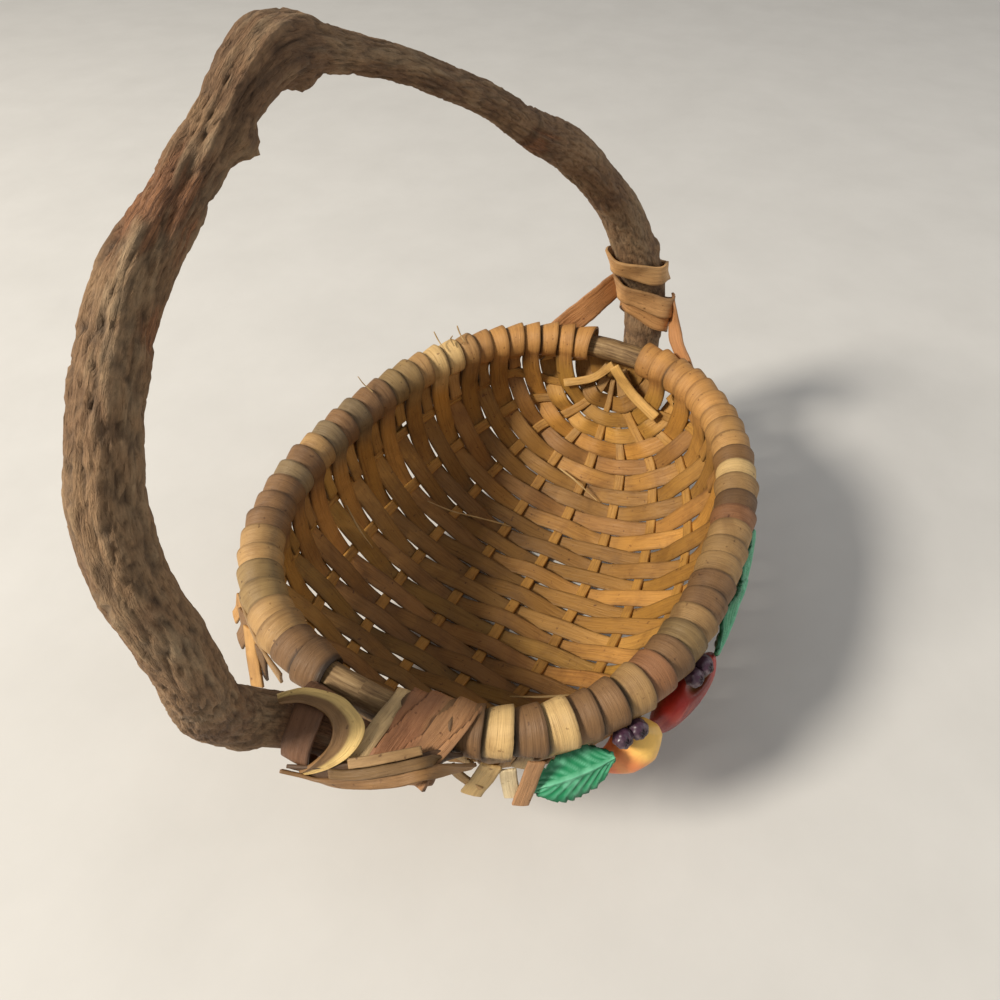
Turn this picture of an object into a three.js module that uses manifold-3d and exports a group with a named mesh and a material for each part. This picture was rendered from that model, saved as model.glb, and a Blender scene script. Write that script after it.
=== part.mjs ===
import * as THREE from 'three';
import { mergeVertices } from 'three/addons/utils/BufferGeometryUtils.js';
import Module from 'manifold-3d';

// Gathering basket: splints woven over lengthwise ribs on an oval twig rim, with a gnarled branch for
// a handle. Millimetres, +X from the end with the elbow to the far end, +Y left, +Z up.

// Rim and bowl
const rimLength = 240;
const rimWidth = 189;
const rimTwigDiameter = 12;
const bowlDepth = 92;
const bottomFlat = 4;
const bareRimLength = 32;
const firstRowDrop = 28;
const rimSquareness = 2.33;
const bowlSquareness = 2.3;
const rimTaper = 0.08;

// Splints and ribs
const weaverCount = 32;
const splintThickness = 1.2;
const splintSideGap = 0.9;
const ribCount = 9;
const ribWidth = 5.5;
const ribThickness = 2.2;
const touchGap = 0.35;
const plateauMargin = 0.6;
const fullRibRows = 2;
const ribGatherRows = 6;
const ribGatherShare = 0.45;
const ribTipShare = 0.5;

// Handle branch
const handleHeight = 187;
const handleThickness = 24;
const handleRings = 60;
const handleSides = 10;

// Lashings
const lashingThickness = 1.3;
const farBandWidth = 10.5;
const farUpperBandWidth = 13;
const farLowerBand = 50;
const farBandGap = 2;
const stripWidth = 9;
const bandSteps = 12;
const wrapSteps = 10;
const stripStepsPerPlace = 3;
const bandClearShare = 0.1;
const tiltRoomShare = 0.65;
const footStartShare = 0.9;
const wrapDrawShare = 0.22;
const farLeftStripWidth = 14;

// Glued ornament
const fruitRedDiameter = 40;
const fruitRedThickness = 14;
const fruitYellowThickness = 18;
const berryDiameter = 7.5;
const leafWidth = 19;
const leafThickness = 1.8;
const leafFoldShare = 0.12;

const up = new THREE.Vector3(0, 0, 1);

// A closed solid through rings of points: a rod or strip with flat ends, or an endless band.
function solidFromRings(rings, endless = false) {
  const sides = rings[0].length;
  const positions = rings.flat().flatMap((point) => point.toArray());
  const indices = [];
  const lastRing = endless ? rings.length : rings.length - 1;
  for (let ring = 0; ring < lastRing; ring += 1) {
    const next = (ring + 1) % rings.length;
    for (let side = 0; side < sides; side += 1) {
      const beside = (side + 1) % sides;
      const a = ring * sides + side;
      const b = ring * sides + beside;
      const c = next * sides + beside;
      const d = next * sides + side;
      indices.push(a, b, c, a, c, d);
    }
  }
  if (!endless) {
    const end = (rings.length - 1) * sides;
    for (let side = 1; side < sides - 1; side += 1) {
      indices.push(0, side + 1, side);
      indices.push(end, end + side, end + side + 1);
    }
  }
  const geometry = new THREE.BufferGeometry();
  geometry.setAttribute('position', new THREE.Float32BufferAttribute(positions, 3));
  geometry.setIndex(indices);
  return facingOut(geometry);
}

// Turns the faces round where they point into the solid.
function facingOut(geometry) {
  const place = geometry.getAttribute('position');
  const index = geometry.getIndex();
  const corners = [new THREE.Vector3(), new THREE.Vector3(), new THREE.Vector3()];
  let volume = 0;
  for (let i = 0; i < index.count; i += 3) {
    corners.forEach((corner, k) => corner.fromBufferAttribute(place, index.getX(i + k)));
    volume += corners[0].dot(corners[1].clone().cross(corners[2]));
  }
  if (volume < 0) {
    const turned = Array.from(index.array).reverse();
    geometry.setIndex(turned);
  }
  geometry.computeVertexNormals();
  return geometry;
}

// Half of an oval, from the near end round to the far end.
class HalfOval extends THREE.Curve {
  constructor(halfLength, reach, squareness, taper) {
    super();
    Object.assign(this, { halfLength, reach, squareness, taper });
  }

  getPoint(t, target = new THREE.Vector3()) {
    const turn = Math.PI * (1 - t);
    const cosine = Math.cos(turn);
    const along = Math.sign(cosine) * Math.abs(cosine) ** (2 / this.squareness);
    const out = Math.abs(Math.sin(turn)) ** (2 / this.squareness) * (1 - this.taper * cosine);
    return target.set(this.halfLength * along, this.reach * out, 0);
  }
}

const rimSide = new HalfOval(rimLength / 2, rimWidth / 2, rimSquareness, rimTaper);
const keelLine = new HalfOval(rimLength / 2, bowlDepth, bowlSquareness, 0);

// Rows are numbered from 0 at the near end. Half a row before the first and after the last, the weave
// ends, and one more row takes the ribs to the point where they gather at the handle.
function rowShare(row, line, bare) {
  const length = line.getLength();
  const pitch = (length - 2 * bare) / weaverCount;
  const fromFar = weaverCount - 1 - row;
  if (row < -0.5) {
    return bare * (row + 1.5) / length;
  }
  if (fromFar < -0.5) {
    return 1 - bare * (fromFar + 1.5) / length;
  }
  return (bare + pitch * (row + 0.5)) / length;
}

const rimPitch = (rimSide.getLength() - bareRimLength) / weaverCount;
const splintHalfRow = 0.5 - splintSideGap / 2 / rimPitch;

// The line of one row across the bowl: down from the +Y rim to the keel and up to the -Y rim.
class RowLine extends THREE.Curve {
  constructor(row) {
    super();
    this.arcLengthDivisions = 120;
    this.rim = rimSide.getPointAt(rowShare(row, rimSide, bareRimLength / 2));
    this.keel = keelLine.getPointAt(rowShare(row, keelLine, firstRowDrop));
  }

  getPoint(t, target = new THREE.Vector3()) {
    const cosine = Math.cos(Math.PI * t);
    const side = Math.sign(cosine) * Math.abs(cosine) ** (2 / bowlSquareness);
    const drop = Math.abs(Math.sin(Math.PI * t)) ** (2 / bowlSquareness);
    const x = THREE.MathUtils.lerp(this.rim.x, this.keel.x, drop * drop);
    return target.set(x, this.rim.y * side, -flattened(this.keel.y * drop));
  }
}

// The bowl's lowest part is pressed flat, with a smooth start over the same depth.
function flattened(depth) {
  const floor = bowlDepth - bottomFlat;
  const blend = bottomFlat;
  const past = depth - floor;
  if (past <= -blend) {
    return depth;
  }
  return past >= blend ? floor : floor - (blend - past) ** 2 / (4 * blend);
}

const rowLines = new Map();

function rowLine(row) {
  if (!rowLines.has(row)) {
    rowLines.set(row, new RowLine(row));
  }
  return rowLines.get(row);
}

// A place on the middle of the wall, by row and by the share of the way across.
function wallPoint(row, share) {
  return rowLine(row).getPointAt(THREE.MathUtils.clamp(share, 0, 1));
}

function wallNormal(row, share) {
  const rowShareStep = 0.25;
  const acrossShareStep = 0.02;
  const along = wallPoint(row + rowShareStep, share).sub(wallPoint(row - rowShareStep, share));
  const across = wallPoint(row, share + acrossShareStep).sub(wallPoint(row, share - acrossShareStep));
  return along.cross(across).normalize();
}

// Centre of the rim twig at a row, with the level direction that points out of the basket.
function rimPlace(row, side) {
  const share = rowShare(row, rimSide, bareRimLength / 2);
  const centre = rimSide.getPointAt(share);
  const tangent = rimSide.getTangentAt(share);
  return {
    centre: new THREE.Vector3(centre.x, side * centre.y, 0),
    out: new THREE.Vector3(-tangent.y, side * tangent.x, 0),
  };
}

// A splint's turn round the rim goes in equal steps, drawn just clear of the twig.
const turnStep = Math.PI * 2 / 9;
const turnStart = turnStep * 2;
const turnSteps = 6;
const turnInnerRadius = (rimTwigDiameter / 2 + touchGap) / Math.cos(turnStep / 2);
const turnOuterRadius = turnInnerRadius + splintThickness;

function roundRim(row, side, outside, angle, radius) {
  const { centre, out } = rimPlace(row, side);
  return centre
    .addScaledVector(out, outside * Math.sin(angle) * radius)
    .addScaledVector(up, -Math.cos(angle) * radius);
}

function endDistance(row) {
  return Math.min(row, weaverCount - 1 - row) + 1.5;
}

// Ribs run side by side over the bowl and gather below the rim at each end.
function ribShare(rib, row) {
  const even = (rib + 1) / (ribCount + 1);
  const spread = THREE.MathUtils.smoothstep(endDistance(row), 0, ribGatherRows);
  return 0.5 + (even - 0.5) * THREE.MathUtils.lerp(ribGatherShare, 1, spread);
}

// A rib is whittled thinner and narrower towards its tips by this share of its full size.
function ribFullness(row) {
  const spread = THREE.MathUtils.smoothstep(endDistance(row), 0, ribGatherRows);
  return THREE.MathUtils.lerp(ribTipShare, 1, spread);
}

// Only every other rib reaches the first and last rows.
function ribsInRow(row) {
  const all = Array.from({ length: ribCount }, (_, rib) => rib);
  const nearEnd = Math.min(row, weaverCount - 1 - row) < fullRibRows;
  return nearEnd ? all.filter((rib) => rib % 2 === 0) : all;
}

const weaveOffset = ribThickness / 2 + touchGap + splintThickness / 2;

// One ring of a weaver beside a rib, ahead of it or past it, on the rib's outside or inside.
function weaverWallRing(row, rib, past, outside) {
  const shareBeside = (place) => {
    const reach = ribWidth * ribFullness(place) / 2 + plateauMargin;
    return ribShare(rib, place) + past * reach / rowLine(place).getLength();
  };
  const first = wallPoint(row - splintHalfRow, shareBeside(row - splintHalfRow));
  const second = wallPoint(row + splintHalfRow, shareBeside(row + splintHalfRow));
  const normal = wallNormal(row, shareBeside(row));
  const chord = first.clone().add(second).multiplyScalar(0.5);
  const bulge = wallPoint(row, shareBeside(row)).sub(chord).dot(normal);
  const offset = outside * weaveOffset + (bulge * outside > 0 ? bulge : 0);
  const inner = offset - splintThickness / 2;
  const outer = offset + splintThickness / 2;
  return [
    first.clone().addScaledVector(normal, inner),
    second.clone().addScaledVector(normal, inner),
    second.clone().addScaledVector(normal, outer),
    first.clone().addScaledVector(normal, outer),
  ];
}

function weaverTurnRing(row, side, outside, angle) {
  const towardsBowl = outside > 0 ? turnInnerRadius : turnOuterRadius;
  const awayFromBowl = outside > 0 ? turnOuterRadius : turnInnerRadius;
  return [
    roundRim(row - splintHalfRow, side, outside, angle, towardsBowl),
    roundRim(row + splintHalfRow, side, outside, angle, towardsBowl),
    roundRim(row + splintHalfRow, side, outside, angle, awayFromBowl),
    roundRim(row - splintHalfRow, side, outside, angle, awayFromBowl),
  ];
}

// One weaver: a turn round the rim, over and under the ribs, and a turn round the other rim.
function weaverGeometry(row) {
  const ribs = ribsInRow(row);
  const rimOutside = row % 2 === 0 ? 1 : -1;
  const turnRings = (side) => Array.from({ length: turnSteps + 1 }, (_, step) =>
    weaverTurnRing(row, side, rimOutside, turnStart + turnStep * step));
  const rings = turnRings(1).reverse();
  ribs.forEach((rib, order) => {
    const outside = order % 2 === 0 ? -rimOutside : rimOutside;
    rings.push(weaverWallRing(row, rib, -1, outside));
    rings.push(weaverWallRing(row, rib, 1, outside));
  });
  rings.push(...turnRings(-1));
  return solidFromRings(rings);
}

// One rib: a flat rod from end to end of the bowl, narrower at its tips.
function ribGeometry(rib) {
  const isOuter = rib === 0 || rib === ribCount - 1;
  const reachesEnds = rib % 2 === 0;
  const outerTipRows = -1.05;
  const mainTipRows = -0.85;
  const fillTipRows = fullRibRows - 0.5;
  const tip = isOuter ? outerTipRows : reachesEnds ? mainTipRows : fillTipRows;
  const rows = [tip];
  for (let row = Math.ceil(tip); row <= weaverCount - 1 - Math.ceil(tip); row += 1) {
    rows.push(row);
  }
  rows.push(weaverCount - 1 - tip);
  const rings = rows.map((row) => {
    const share = ribShare(rib, row);
    const centre = wallPoint(row, share);
    const normal = wallNormal(row, share);
    const ahead = wallPoint(row + 0.2, ribShare(rib, row + 0.2));
    const behind = wallPoint(row - 0.2, ribShare(rib, row - 0.2));
    const across = ahead.sub(behind).cross(normal).normalize();
    const halfWidth = ribWidth * ribFullness(row) / 2;
    const halfThickness = ribThickness * ribFullness(row) / 2;
    return [[-1, -1], [1, -1], [1, 1], [-1, 1]].map(([side, face]) => centre.clone()
      .addScaledVector(across, side * halfWidth)
      .addScaledVector(normal, face * halfThickness));
  });
  return solidFromRings(rings);
}

// The rim hoop, a round twig bent to the oval.
function rimGeometry() {
  const sides = 8;
  const rings = [];
  for (const side of [1, -1]) {
    for (let step = 0; step <= weaverCount + 1; step += 1) {
      const row = side > 0 ? step - 1 : weaverCount - step;
      const { centre, out } = rimPlace(row - 0.5 * side, side);
      rings.push(Array.from({ length: sides }, (_, k) => {
        const angle = 2 * Math.PI * (k + 0.5) / sides;
        return centre.clone()
          .addScaledVector(out, Math.cos(angle) * rimTwigDiameter / 2)
          .addScaledVector(up, Math.sin(angle) * rimTwigDiameter / 2);
      }));
    }
  }
  return solidFromRings(rings, true);
}

// The handle branch. Each place is given by shares: x of the distance from the middle to a foot, y and z
// of the handle's height over the rim, and the branch's thickness there of its greatest thickness. In the
// elbow at the near end, y and z are shares of the bare stretch of rim that it is lashed to.
const handleSeat = rimLength / 2 + turnOuterRadius + touchGap + handleThickness / 2;
const archPlaceShares = [
  [0.985, -0.045, -0.16, 0.74],
  [0.99, -0.035, -0.05, 0.86],
  [1.0, -0.028, 0.08, 0.96],
  [1.005, -0.016, 0.17, 1.0],
  [0.945, 0.01, 0.283, 0.97],
  [0.86, 0.043, 0.412, 0.88],
  [0.715, 0.07, 0.53, 0.79],
  [0.536, 0.1, 0.647, 0.74],
  [0.35, 0.123, 0.728, 0.6],
  [0.178, 0.144, 0.813, 0.51],
  [0.0, 0.166, 0.882, 0.47],
  [-0.12, 0.177, 0.925, 0.46],
  [-0.235, 0.187, 0.957, 0.48],
  [-0.32, 0.192, 0.978, 0.57],
  [-0.393, 0.198, 0.995, 0.76],
  [-0.47, 0.198, 1.0, 0.8],
  [-0.535, 0.198, 0.984, 0.74],
  [-0.62, 0.193, 0.952, 0.64],
  [-0.74, 0.187, 0.904, 0.65],
  [-0.82, 0.182, 0.872, 0.69],
  [-0.907, 0.176, 0.829, 0.71],
  [-1.02, 0.16, 0.743, 0.73],
  [-1.07, 0.15, 0.69, 0.75],
  [-1.114, 0.139, 0.631, 0.77],
  [-1.15, 0.118, 0.535, 0.81],
  [-1.157, 0.096, 0.438, 0.83],
  [-1.157, 0.09, 0.348, 0.8],
  [-1.15, 0.105, 0.262, 0.83],
];
const elbowPlaceShares = [
  [-1.13, 0.73, 0.99, 0.92],
  [-1.085, 0.82, 0.5, 0.98],
  [-1.02, 0.585, 0.175, 0.88],
  [-0.985, 0.105, 0.09, 0.76],
  [-0.968, -0.29, 0.0, 0.68],
  [-0.955, -0.73, -0.06, 0.6],
  [-0.94, -1.17, -0.09, 0.5],
];
const handlePlaceShares = [...archPlaceShares, ...elbowPlaceShares];

// Knots on the branch: share of the way along from the far foot, angle round it in degrees, height and
// length as shares of the branch's thickness there.
const knotShares = [
  [0.17, 100, 0.1, 0.5],
  [0.335, 250, 0.12, 0.4],
  [0.485, 60, 0.22, 0.8],
  [0.53, 200, 0.18, 0.6],
  [0.6, 240, 0.34, 0.45],
  [0.72, 30, 0.1, 0.8],
  [0.9, 150, 0.2, 0.5],
];

function handlePlaces(shares, unit) {
  return shares.map(([x, y, z]) => new THREE.Vector3(x * handleSeat, y * unit, z * unit));
}

const handleLine = new THREE.CatmullRomCurve3([
  ...handlePlaces(archPlaceShares, handleHeight),
  ...handlePlaces(elbowPlaceShares, bareRimLength),
], false, 'centripetal');
const handleFrames = handleLine.computeFrenetFrames(handleRings, false);

function handleRadius(share) {
  const place = handleLine.getUtoTmapping(share) * (handlePlaceShares.length - 1);
  const before = Math.min(Math.floor(place), handlePlaceShares.length - 2);
  const thickness = THREE.MathUtils.lerp(handlePlaceShares[before][3],
    handlePlaceShares[before + 1][3], place - before);
  return handleThickness * thickness / 2;
}

function knotHeight(share, angle) {
  const length = handleLine.getLength();
  return knotShares.reduce((height, [at, degrees, rise, reach]) => {
    const away = (share - at) * length / (2 * handleRadius(at) * reach);
    const facing = Math.max(0, Math.cos(angle - THREE.MathUtils.degToRad(degrees)));
    return height + rise * Math.exp(-away * away) * facing * facing;
  }, 0);
}

function handleGeometry() {
  const rings = [];
  for (let ring = 0; ring <= handleRings; ring += 1) {
    const share = ring / handleRings;
    const centre = handleLine.getPointAt(share);
    const radius = handleRadius(share);
    const isEnd = ring === 0 || ring === handleRings;
    rings.push(Array.from({ length: handleSides }, (_, k) => {
      const angle = 2 * Math.PI * k / handleSides;
      const reach = radius * (isEnd ? 0.8 : 1 + knotHeight(share, angle));
      return centre.clone()
        .addScaledVector(handleFrames.normals[ring], Math.cos(angle) * reach)
        .addScaledVector(handleFrames.binormals[ring], Math.sin(angle) * reach);
    }));
  }
  return solidFromRings(rings);
}

// A splint band closed round the branch at a distance from its far foot, wound with its +Y side higher.
function handleBandGeometry(distance, tiltDegrees, width) {
  const share = distance / handleLine.getLength();
  const runShare = handleThickness * 1.5 / handleLine.getLength();
  const centre = handleLine.getPointAt(share);
  const tangent = handleLine.getPointAt(share + runShare)
    .sub(handleLine.getPointAt(share - runShare)).normalize();
  const level = new THREE.Vector3().crossVectors(up, tangent).normalize();
  const away = new THREE.Vector3().crossVectors(tangent, level);
  const tilt = THREE.MathUtils.degToRad(tiltDegrees);
  const along = tangent.clone().applyAxisAngle(away, tilt);
  level.applyAxisAngle(away, tilt);
  const across = new THREE.Vector3().crossVectors(along, level);
  const halfShare = width / 2 / handleLine.getLength();
  const widest = Math.max(handleRadius(share - halfShare), handleRadius(share + halfShare));
  const clearRadius = widest * (1 + bandClearShare) + touchGap;
  const tiltRoom = width / 2 * Math.sin(Math.abs(tilt)) * tiltRoomShare;
  const inner = clearRadius / Math.cos(Math.PI / bandSteps) + tiltRoom;
  const outer = inner + lashingThickness;
  const corners = [[inner, -1], [outer, -1], [outer, 1], [inner, 1]];
  const rings = Array.from({ length: bandSteps }, (_, step) => {
    const angle = 2 * Math.PI * step / bandSteps;
    const out = level.clone().multiplyScalar(Math.cos(angle)).addScaledVector(across, Math.sin(angle));
    return corners.map(([radius, edge]) => centre.clone()
      .addScaledVector(out, radius)
      .addScaledVector(along, edge * width / 2));
  });
  return solidFromRings(rings, true);
}

// The rim's centre at the near end, where a level line across the basket meets it.
function nearRimPlace(y) {
  const halfWidth = rimWidth / 2 * (1 + rimTaper);
  const x = -rimLength / 2 * (1 - Math.abs(y / halfWidth) ** rimSquareness) ** (1 / rimSquareness);
  const slope = (Math.abs(y) / halfWidth) ** (rimSquareness - 1) * rimLength / 2 / halfWidth;
  return { x, spread: Math.sqrt(1 + slope * slope) };
}

// How far along the branch its foot lies at a given place across the basket.
function footShareAt(y) {
  let before = footStartShare;
  let after = 1;
  for (let halving = 0; halving < 30; halving += 1) {
    const middle = (before + after) / 2;
    if (handleLine.getPointAt(middle).y > y) {
      before = middle;
    } else {
      after = middle;
    }
  }
  return before;
}

function arcPoints(circleAt, lift, start, end, steps) {
  return Array.from({ length: steps + 1 }, (_, step) => {
    const angle = THREE.MathUtils.lerp(start, end, step / steps);
    const { centre, radius } = circleAt(angle);
    return new THREE.Vector3(Math.cos(angle), 0, Math.sin(angle)).multiplyScalar(radius + lift).add(centre);
  });
}

// The branch's foot cut level with a place across the basket, with room for a wrap's inner face.
function footCircle(sideShare, slack) {
  const share = footShareAt(sideShare * bareRimLength / 2);
  const slant = 1 / Math.abs(handleLine.getTangentAt(share).y);
  const radius = (handleRadius(share) * (1 + bandClearShare) * slant + touchGap) * slack;
  return { centre: handleLine.getPointAt(share), radius };
}

// One edge of a band round the foot alone.
function footBandEdge(sideShare, lift) {
  const slack = 1 / Math.cos(Math.PI / bandSteps);
  const circleAt = (angle) => footCircle(drawnAside(sideShare, curledTurn, angle), slack);
  return arcPoints(circleAt, lift, 0, 2 * Math.PI, bandSteps).slice(1);
}

// A wrap isn't level: it is drawn furthest towards -Y at one turn and back at the opposite one.
const curledTurn = THREE.MathUtils.degToRad(140);
const slantedTurn = THREE.MathUtils.degToRad(85);

function drawnAside(sideShare, drawnTurn, angle) {
  return sideShare - wrapDrawShare * Math.cos(angle - drawnTurn);
}

// One edge of a wrap drawn round the rim and the foot together.
function wrapEdge(sideShare, lift, rimRadius, drawnTurn, fromTurn, toTurn) {
  const slack = 1 / Math.cos(Math.PI / wrapSteps);
  const footAt = (angle) => footCircle(drawnAside(sideShare, drawnTurn, angle), slack);
  const loopAt = (angle) => {
    const { centre: { y } } = footAt(angle);
    const rim = nearRimPlace(y);
    const radius = (rimRadius + touchGap) * rim.spread * slack;
    return { centre: new THREE.Vector3(rim.x, y, 0), radius };
  };
  const foot = footCircle(sideShare, slack);
  const loop = loopAt(drawnTurn + Math.PI / 2);
  const between = loop.centre.clone().sub(foot.centre);
  const lean = Math.atan2(between.z, between.x);
  const touch = Math.acos((foot.radius - loop.radius) / between.length());
  const fromAngle = fromTurn ?? lean - touch;
  const toAngle = toTurn ?? lean + 2 * Math.PI - touch;
  return [
    ...arcPoints(loopAt, lift, fromAngle, lean + touch, wrapSteps / 2),
    ...arcPoints(footAt, lift, lean + touch, toAngle, wrapSteps / 2),
  ];
}

// A flat wrap between two edges, each given as a function of its side share and its lift.
function wrapGeometry(edgePoints, [firstSide, secondSide], endless) {
  const edges = [
    edgePoints(firstSide, 0),
    edgePoints(secondSide, 0),
    edgePoints(secondSide, lashingThickness),
    edgePoints(firstSide, lashingThickness),
  ];
  const rings = edges[0].map((_, station) => edges.map((edge) => edge[station]));
  return solidFromRings(rings, endless);
}

// A loose strip through places that each give a point and the way its face looks.
function stripGeometry(places, width) {
  const line = new THREE.CatmullRomCurve3(places.map(([point]) => point), false, 'centripetal');
  const faces = new THREE.CatmullRomCurve3(places.map(([, face]) => face));
  const steps = (places.length - 1) * stripStepsPerPlace;
  const corners = [[-1, -1], [1, -1], [1, 1], [-1, 1]];
  const rings = Array.from({ length: steps + 1 }, (_, step) => {
    const t = step / steps;
    const centre = line.getPoint(t);
    const tangent = line.getTangent(t);
    const across = new THREE.Vector3().crossVectors(tangent, faces.getPoint(t)).normalize();
    const face = new THREE.Vector3().crossVectors(across, tangent).normalize();
    return corners.map(([side, depth]) => centre.clone()
      .addScaledVector(across, side * width / 2)
      .addScaledVector(face, depth * lashingThickness / 2));
  });
  return solidFromRings(rings);
}

// A place outside the rim's turns, with the way out of the basket.
function besideRim(row, side, drop, standOff) {
  const { centre, out } = rimPlace(row, side);
  const reach = turnOuterRadius + touchGap + lashingThickness / 2 + standOff;
  return [centre.addScaledVector(out, reach).addScaledVector(up, -drop), out];
}

// A place on the branch's skin in a given direction, lifted over any band there.
function besideBranch(share, direction, lift) {
  const centre = handleLine.getPointAt(share);
  const face = direction.clone().normalize();
  const radius = handleRadius(share) * (1 + bandClearShare);
  const reach = radius / Math.cos(Math.PI / bandSteps) + touchGap + lashingThickness / 2 + lift;
  return [centre.addScaledVector(face, reach), face];
}

// A place for the ornament outside the -Y wall: from the rim at a row, so far along it, down and out.
function ornamentPlace(row, along, drop, standOff) {
  const { centre, out } = rimPlace(row + along / rimPitch, -1);
  return centre.addScaledVector(out, standOff).addScaledVector(up, -drop);
}

// A leaf, folded along its middle and held out from the wall like an awning. Its base and tip are given
// from a row by shares of its width: along the rim, down and out.
const leafOutlineShares = [0.14, 0.62, 0.92, 1, 0.86, 0.52, 0.06];

function leafGeometry(row, [baseShares, tipShares], awningDegrees, width) {
  const awning = THREE.MathUtils.degToRad(awningDegrees);
  const rings = leafOutlineShares.map((outline, station) => {
    const t = station / (leafOutlineShares.length - 1);
    const [along, drop, standOff] = baseShares.map((share, k) =>
      THREE.MathUtils.lerp(share, tipShares[k], t) * width);
    const centre = ornamentPlace(row, along, drop, standOff);
    const { out } = rimPlace(row + along / rimPitch, -1);
    const across = out.clone().multiplyScalar(Math.sin(awning)).addScaledVector(up, -Math.cos(awning));
    const face = out.clone().multiplyScalar(Math.cos(awning)).addScaledVector(up, Math.sin(awning));
    const half = outline * width / 2;
    const fold = -outline * width * leafFoldShare;
    const outlinePoints = [[-half, fold], [0, 0], [half, fold], [half, fold - leafThickness],
      [0, -leafThickness], [-half, fold - leafThickness]];
    return outlinePoints.map(([side, lift]) =>
      centre.clone().addScaledVector(across, side).addScaledVector(face, lift));
  });
  return solidFromRings(rings);
}

// A rounded fruit, flattened against the wall at a row, with its middle a share of its diameter down.
const roundFruitDropShare = 0.74;

function roundFruitGeometry(row, diameter, thickness) {
  const share = 1 - roundFruitDropShare * diameter / rowLine(row).getLength();
  const normal = wallNormal(row, share);
  const wallClear = weaveOffset + splintThickness / 2 + touchGap;
  const centre = wallPoint(row, share).addScaledVector(normal, wallClear + thickness / 2);
  const geometry = new THREE.SphereGeometry(diameter / 2, 16, 10);
  geometry.scale(1, 1, thickness / diameter);
  geometry.lookAt(normal);
  geometry.translate(centre.x, centre.y, centre.z);
  return geometry;
}

// A curved fruit that tapers to a hooked tip. Places are given by shares of its greatest thickness: along
// the rim, down and out from it, and the thickness there.
const yellowFruitShares = [
  [0, 0.7, 0.33, 0.3],
  [-0.11, 0.83, 0.43, 0.8],
  [-0.33, 1.06, 0.5, 1],
  [-0.6, 1.27, 0.49, 0.84],
  [-0.86, 1.45, 0.4, 0.52],
  [-1.06, 1.53, 0.3, 0.2],
];

function hookedFruitGeometry(row) {
  const line = new THREE.CatmullRomCurve3(yellowFruitShares.map((shares) => {
    const [along, drop, standOff] = shares.map((share) => share * fruitYellowThickness);
    return ornamentPlace(row, along, drop, standOff);
  }));
  const steps = 10;
  const sides = 10;
  const frames = line.computeFrenetFrames(steps, false);
  const rings = Array.from({ length: steps + 1 }, (_, step) => {
    const place = line.getUtoTmapping(step / steps) * (yellowFruitShares.length - 1);
    const before = Math.min(Math.floor(place), yellowFruitShares.length - 2);
    const thickness = THREE.MathUtils.lerp(yellowFruitShares[before][3],
      yellowFruitShares[before + 1][3], place - before);
    return Array.from({ length: sides }, (_, k) => {
      const angle = 2 * Math.PI * k / sides;
      const radius = thickness * fruitYellowThickness / 2;
      return line.getPointAt(step / steps)
        .addScaledVector(frames.normals[step], Math.cos(angle) * radius)
        .addScaledVector(frames.binormals[step], Math.sin(angle) * radius);
    });
  });
  return solidFromRings(rings);
}

const wasm = await Module();
wasm.setup();

// Joins overlapping solids into one.
function joined(geometries) {
  const solids = geometries.map((geometry) => {
    const bare = geometry.clone();
    bare.deleteAttribute('normal');
    bare.deleteAttribute('uv');
    const merged = mergeVertices(bare);
    return new wasm.Manifold(new wasm.Mesh({
      numProp: 3,
      vertProperties: Float32Array.from(merged.getAttribute('position').array),
      triVerts: Uint32Array.from(merged.getIndex().array),
    }));
  });
  const mesh = solids.reduce((all, solid) => all.add(solid)).getMesh();
  const geometry = new THREE.BufferGeometry();
  geometry.setAttribute('position', new THREE.BufferAttribute(Float32Array.from(mesh.vertProperties), 3));
  geometry.setIndex(new THREE.BufferAttribute(Uint32Array.from(mesh.triVerts), 1));
  return geometry;
}

// A bunch of berries that touch one another, each placed from a row by shares of one berry's diameter:
// along the rim, down and out.
function berriesGeometry(row, placeShares) {
  return joined(placeShares.map((shares) => {
    const [along, drop, standOff] = shares.map((share) => share * berryDiameter);
    const berry = new THREE.SphereGeometry(berryDiameter / 2, 10, 7);
    const centre = ornamentPlace(row, along, drop, standOff);
    return berry.translate(centre.x, centre.y, centre.z);
  }));
}

const overBand = lashingThickness + touchGap;
const lastRow = weaverCount - 1;
const rightward = new THREE.Vector3(0, -1, 0);
const leftAndAway = new THREE.Vector3(0.6, 0.8, 0);

function finish(colour, roughness) {
  return new THREE.MeshStandardMaterial({ color: colour, roughness, metalness: 0 });
}

const basket = new THREE.Group();

function addPiece(name, geometry, colour, roughness) {
  const mesh = new THREE.Mesh(geometry, finish(colour, roughness));
  mesh.name = name;
  basket.add(mesh);
  return mesh;
}

addPiece('rim_hoop', rimGeometry(), 0x8c7450, 0.85);
addPiece('handle_branch', handleGeometry(), 0x6e5c45, 0.9);
for (let rib = 0; rib < ribCount; rib += 1) {
  addPiece(`rib_${rib + 1}`, ribGeometry(rib), 0x9a7440, 0.8);
}
for (let row = 0; row < weaverCount; row += 1) {
  const name = `weaver_${String(row + 1).padStart(2, '0')}`;
  addPiece(name, weaverGeometry(row), 0xa9824c, 0.75);
}

const tanSplint = 0xb08350;
const brownSplint = 0x7d5330;
const redSplint = 0x8f5c38;
const paleSplint = 0xc9a870;

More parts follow.
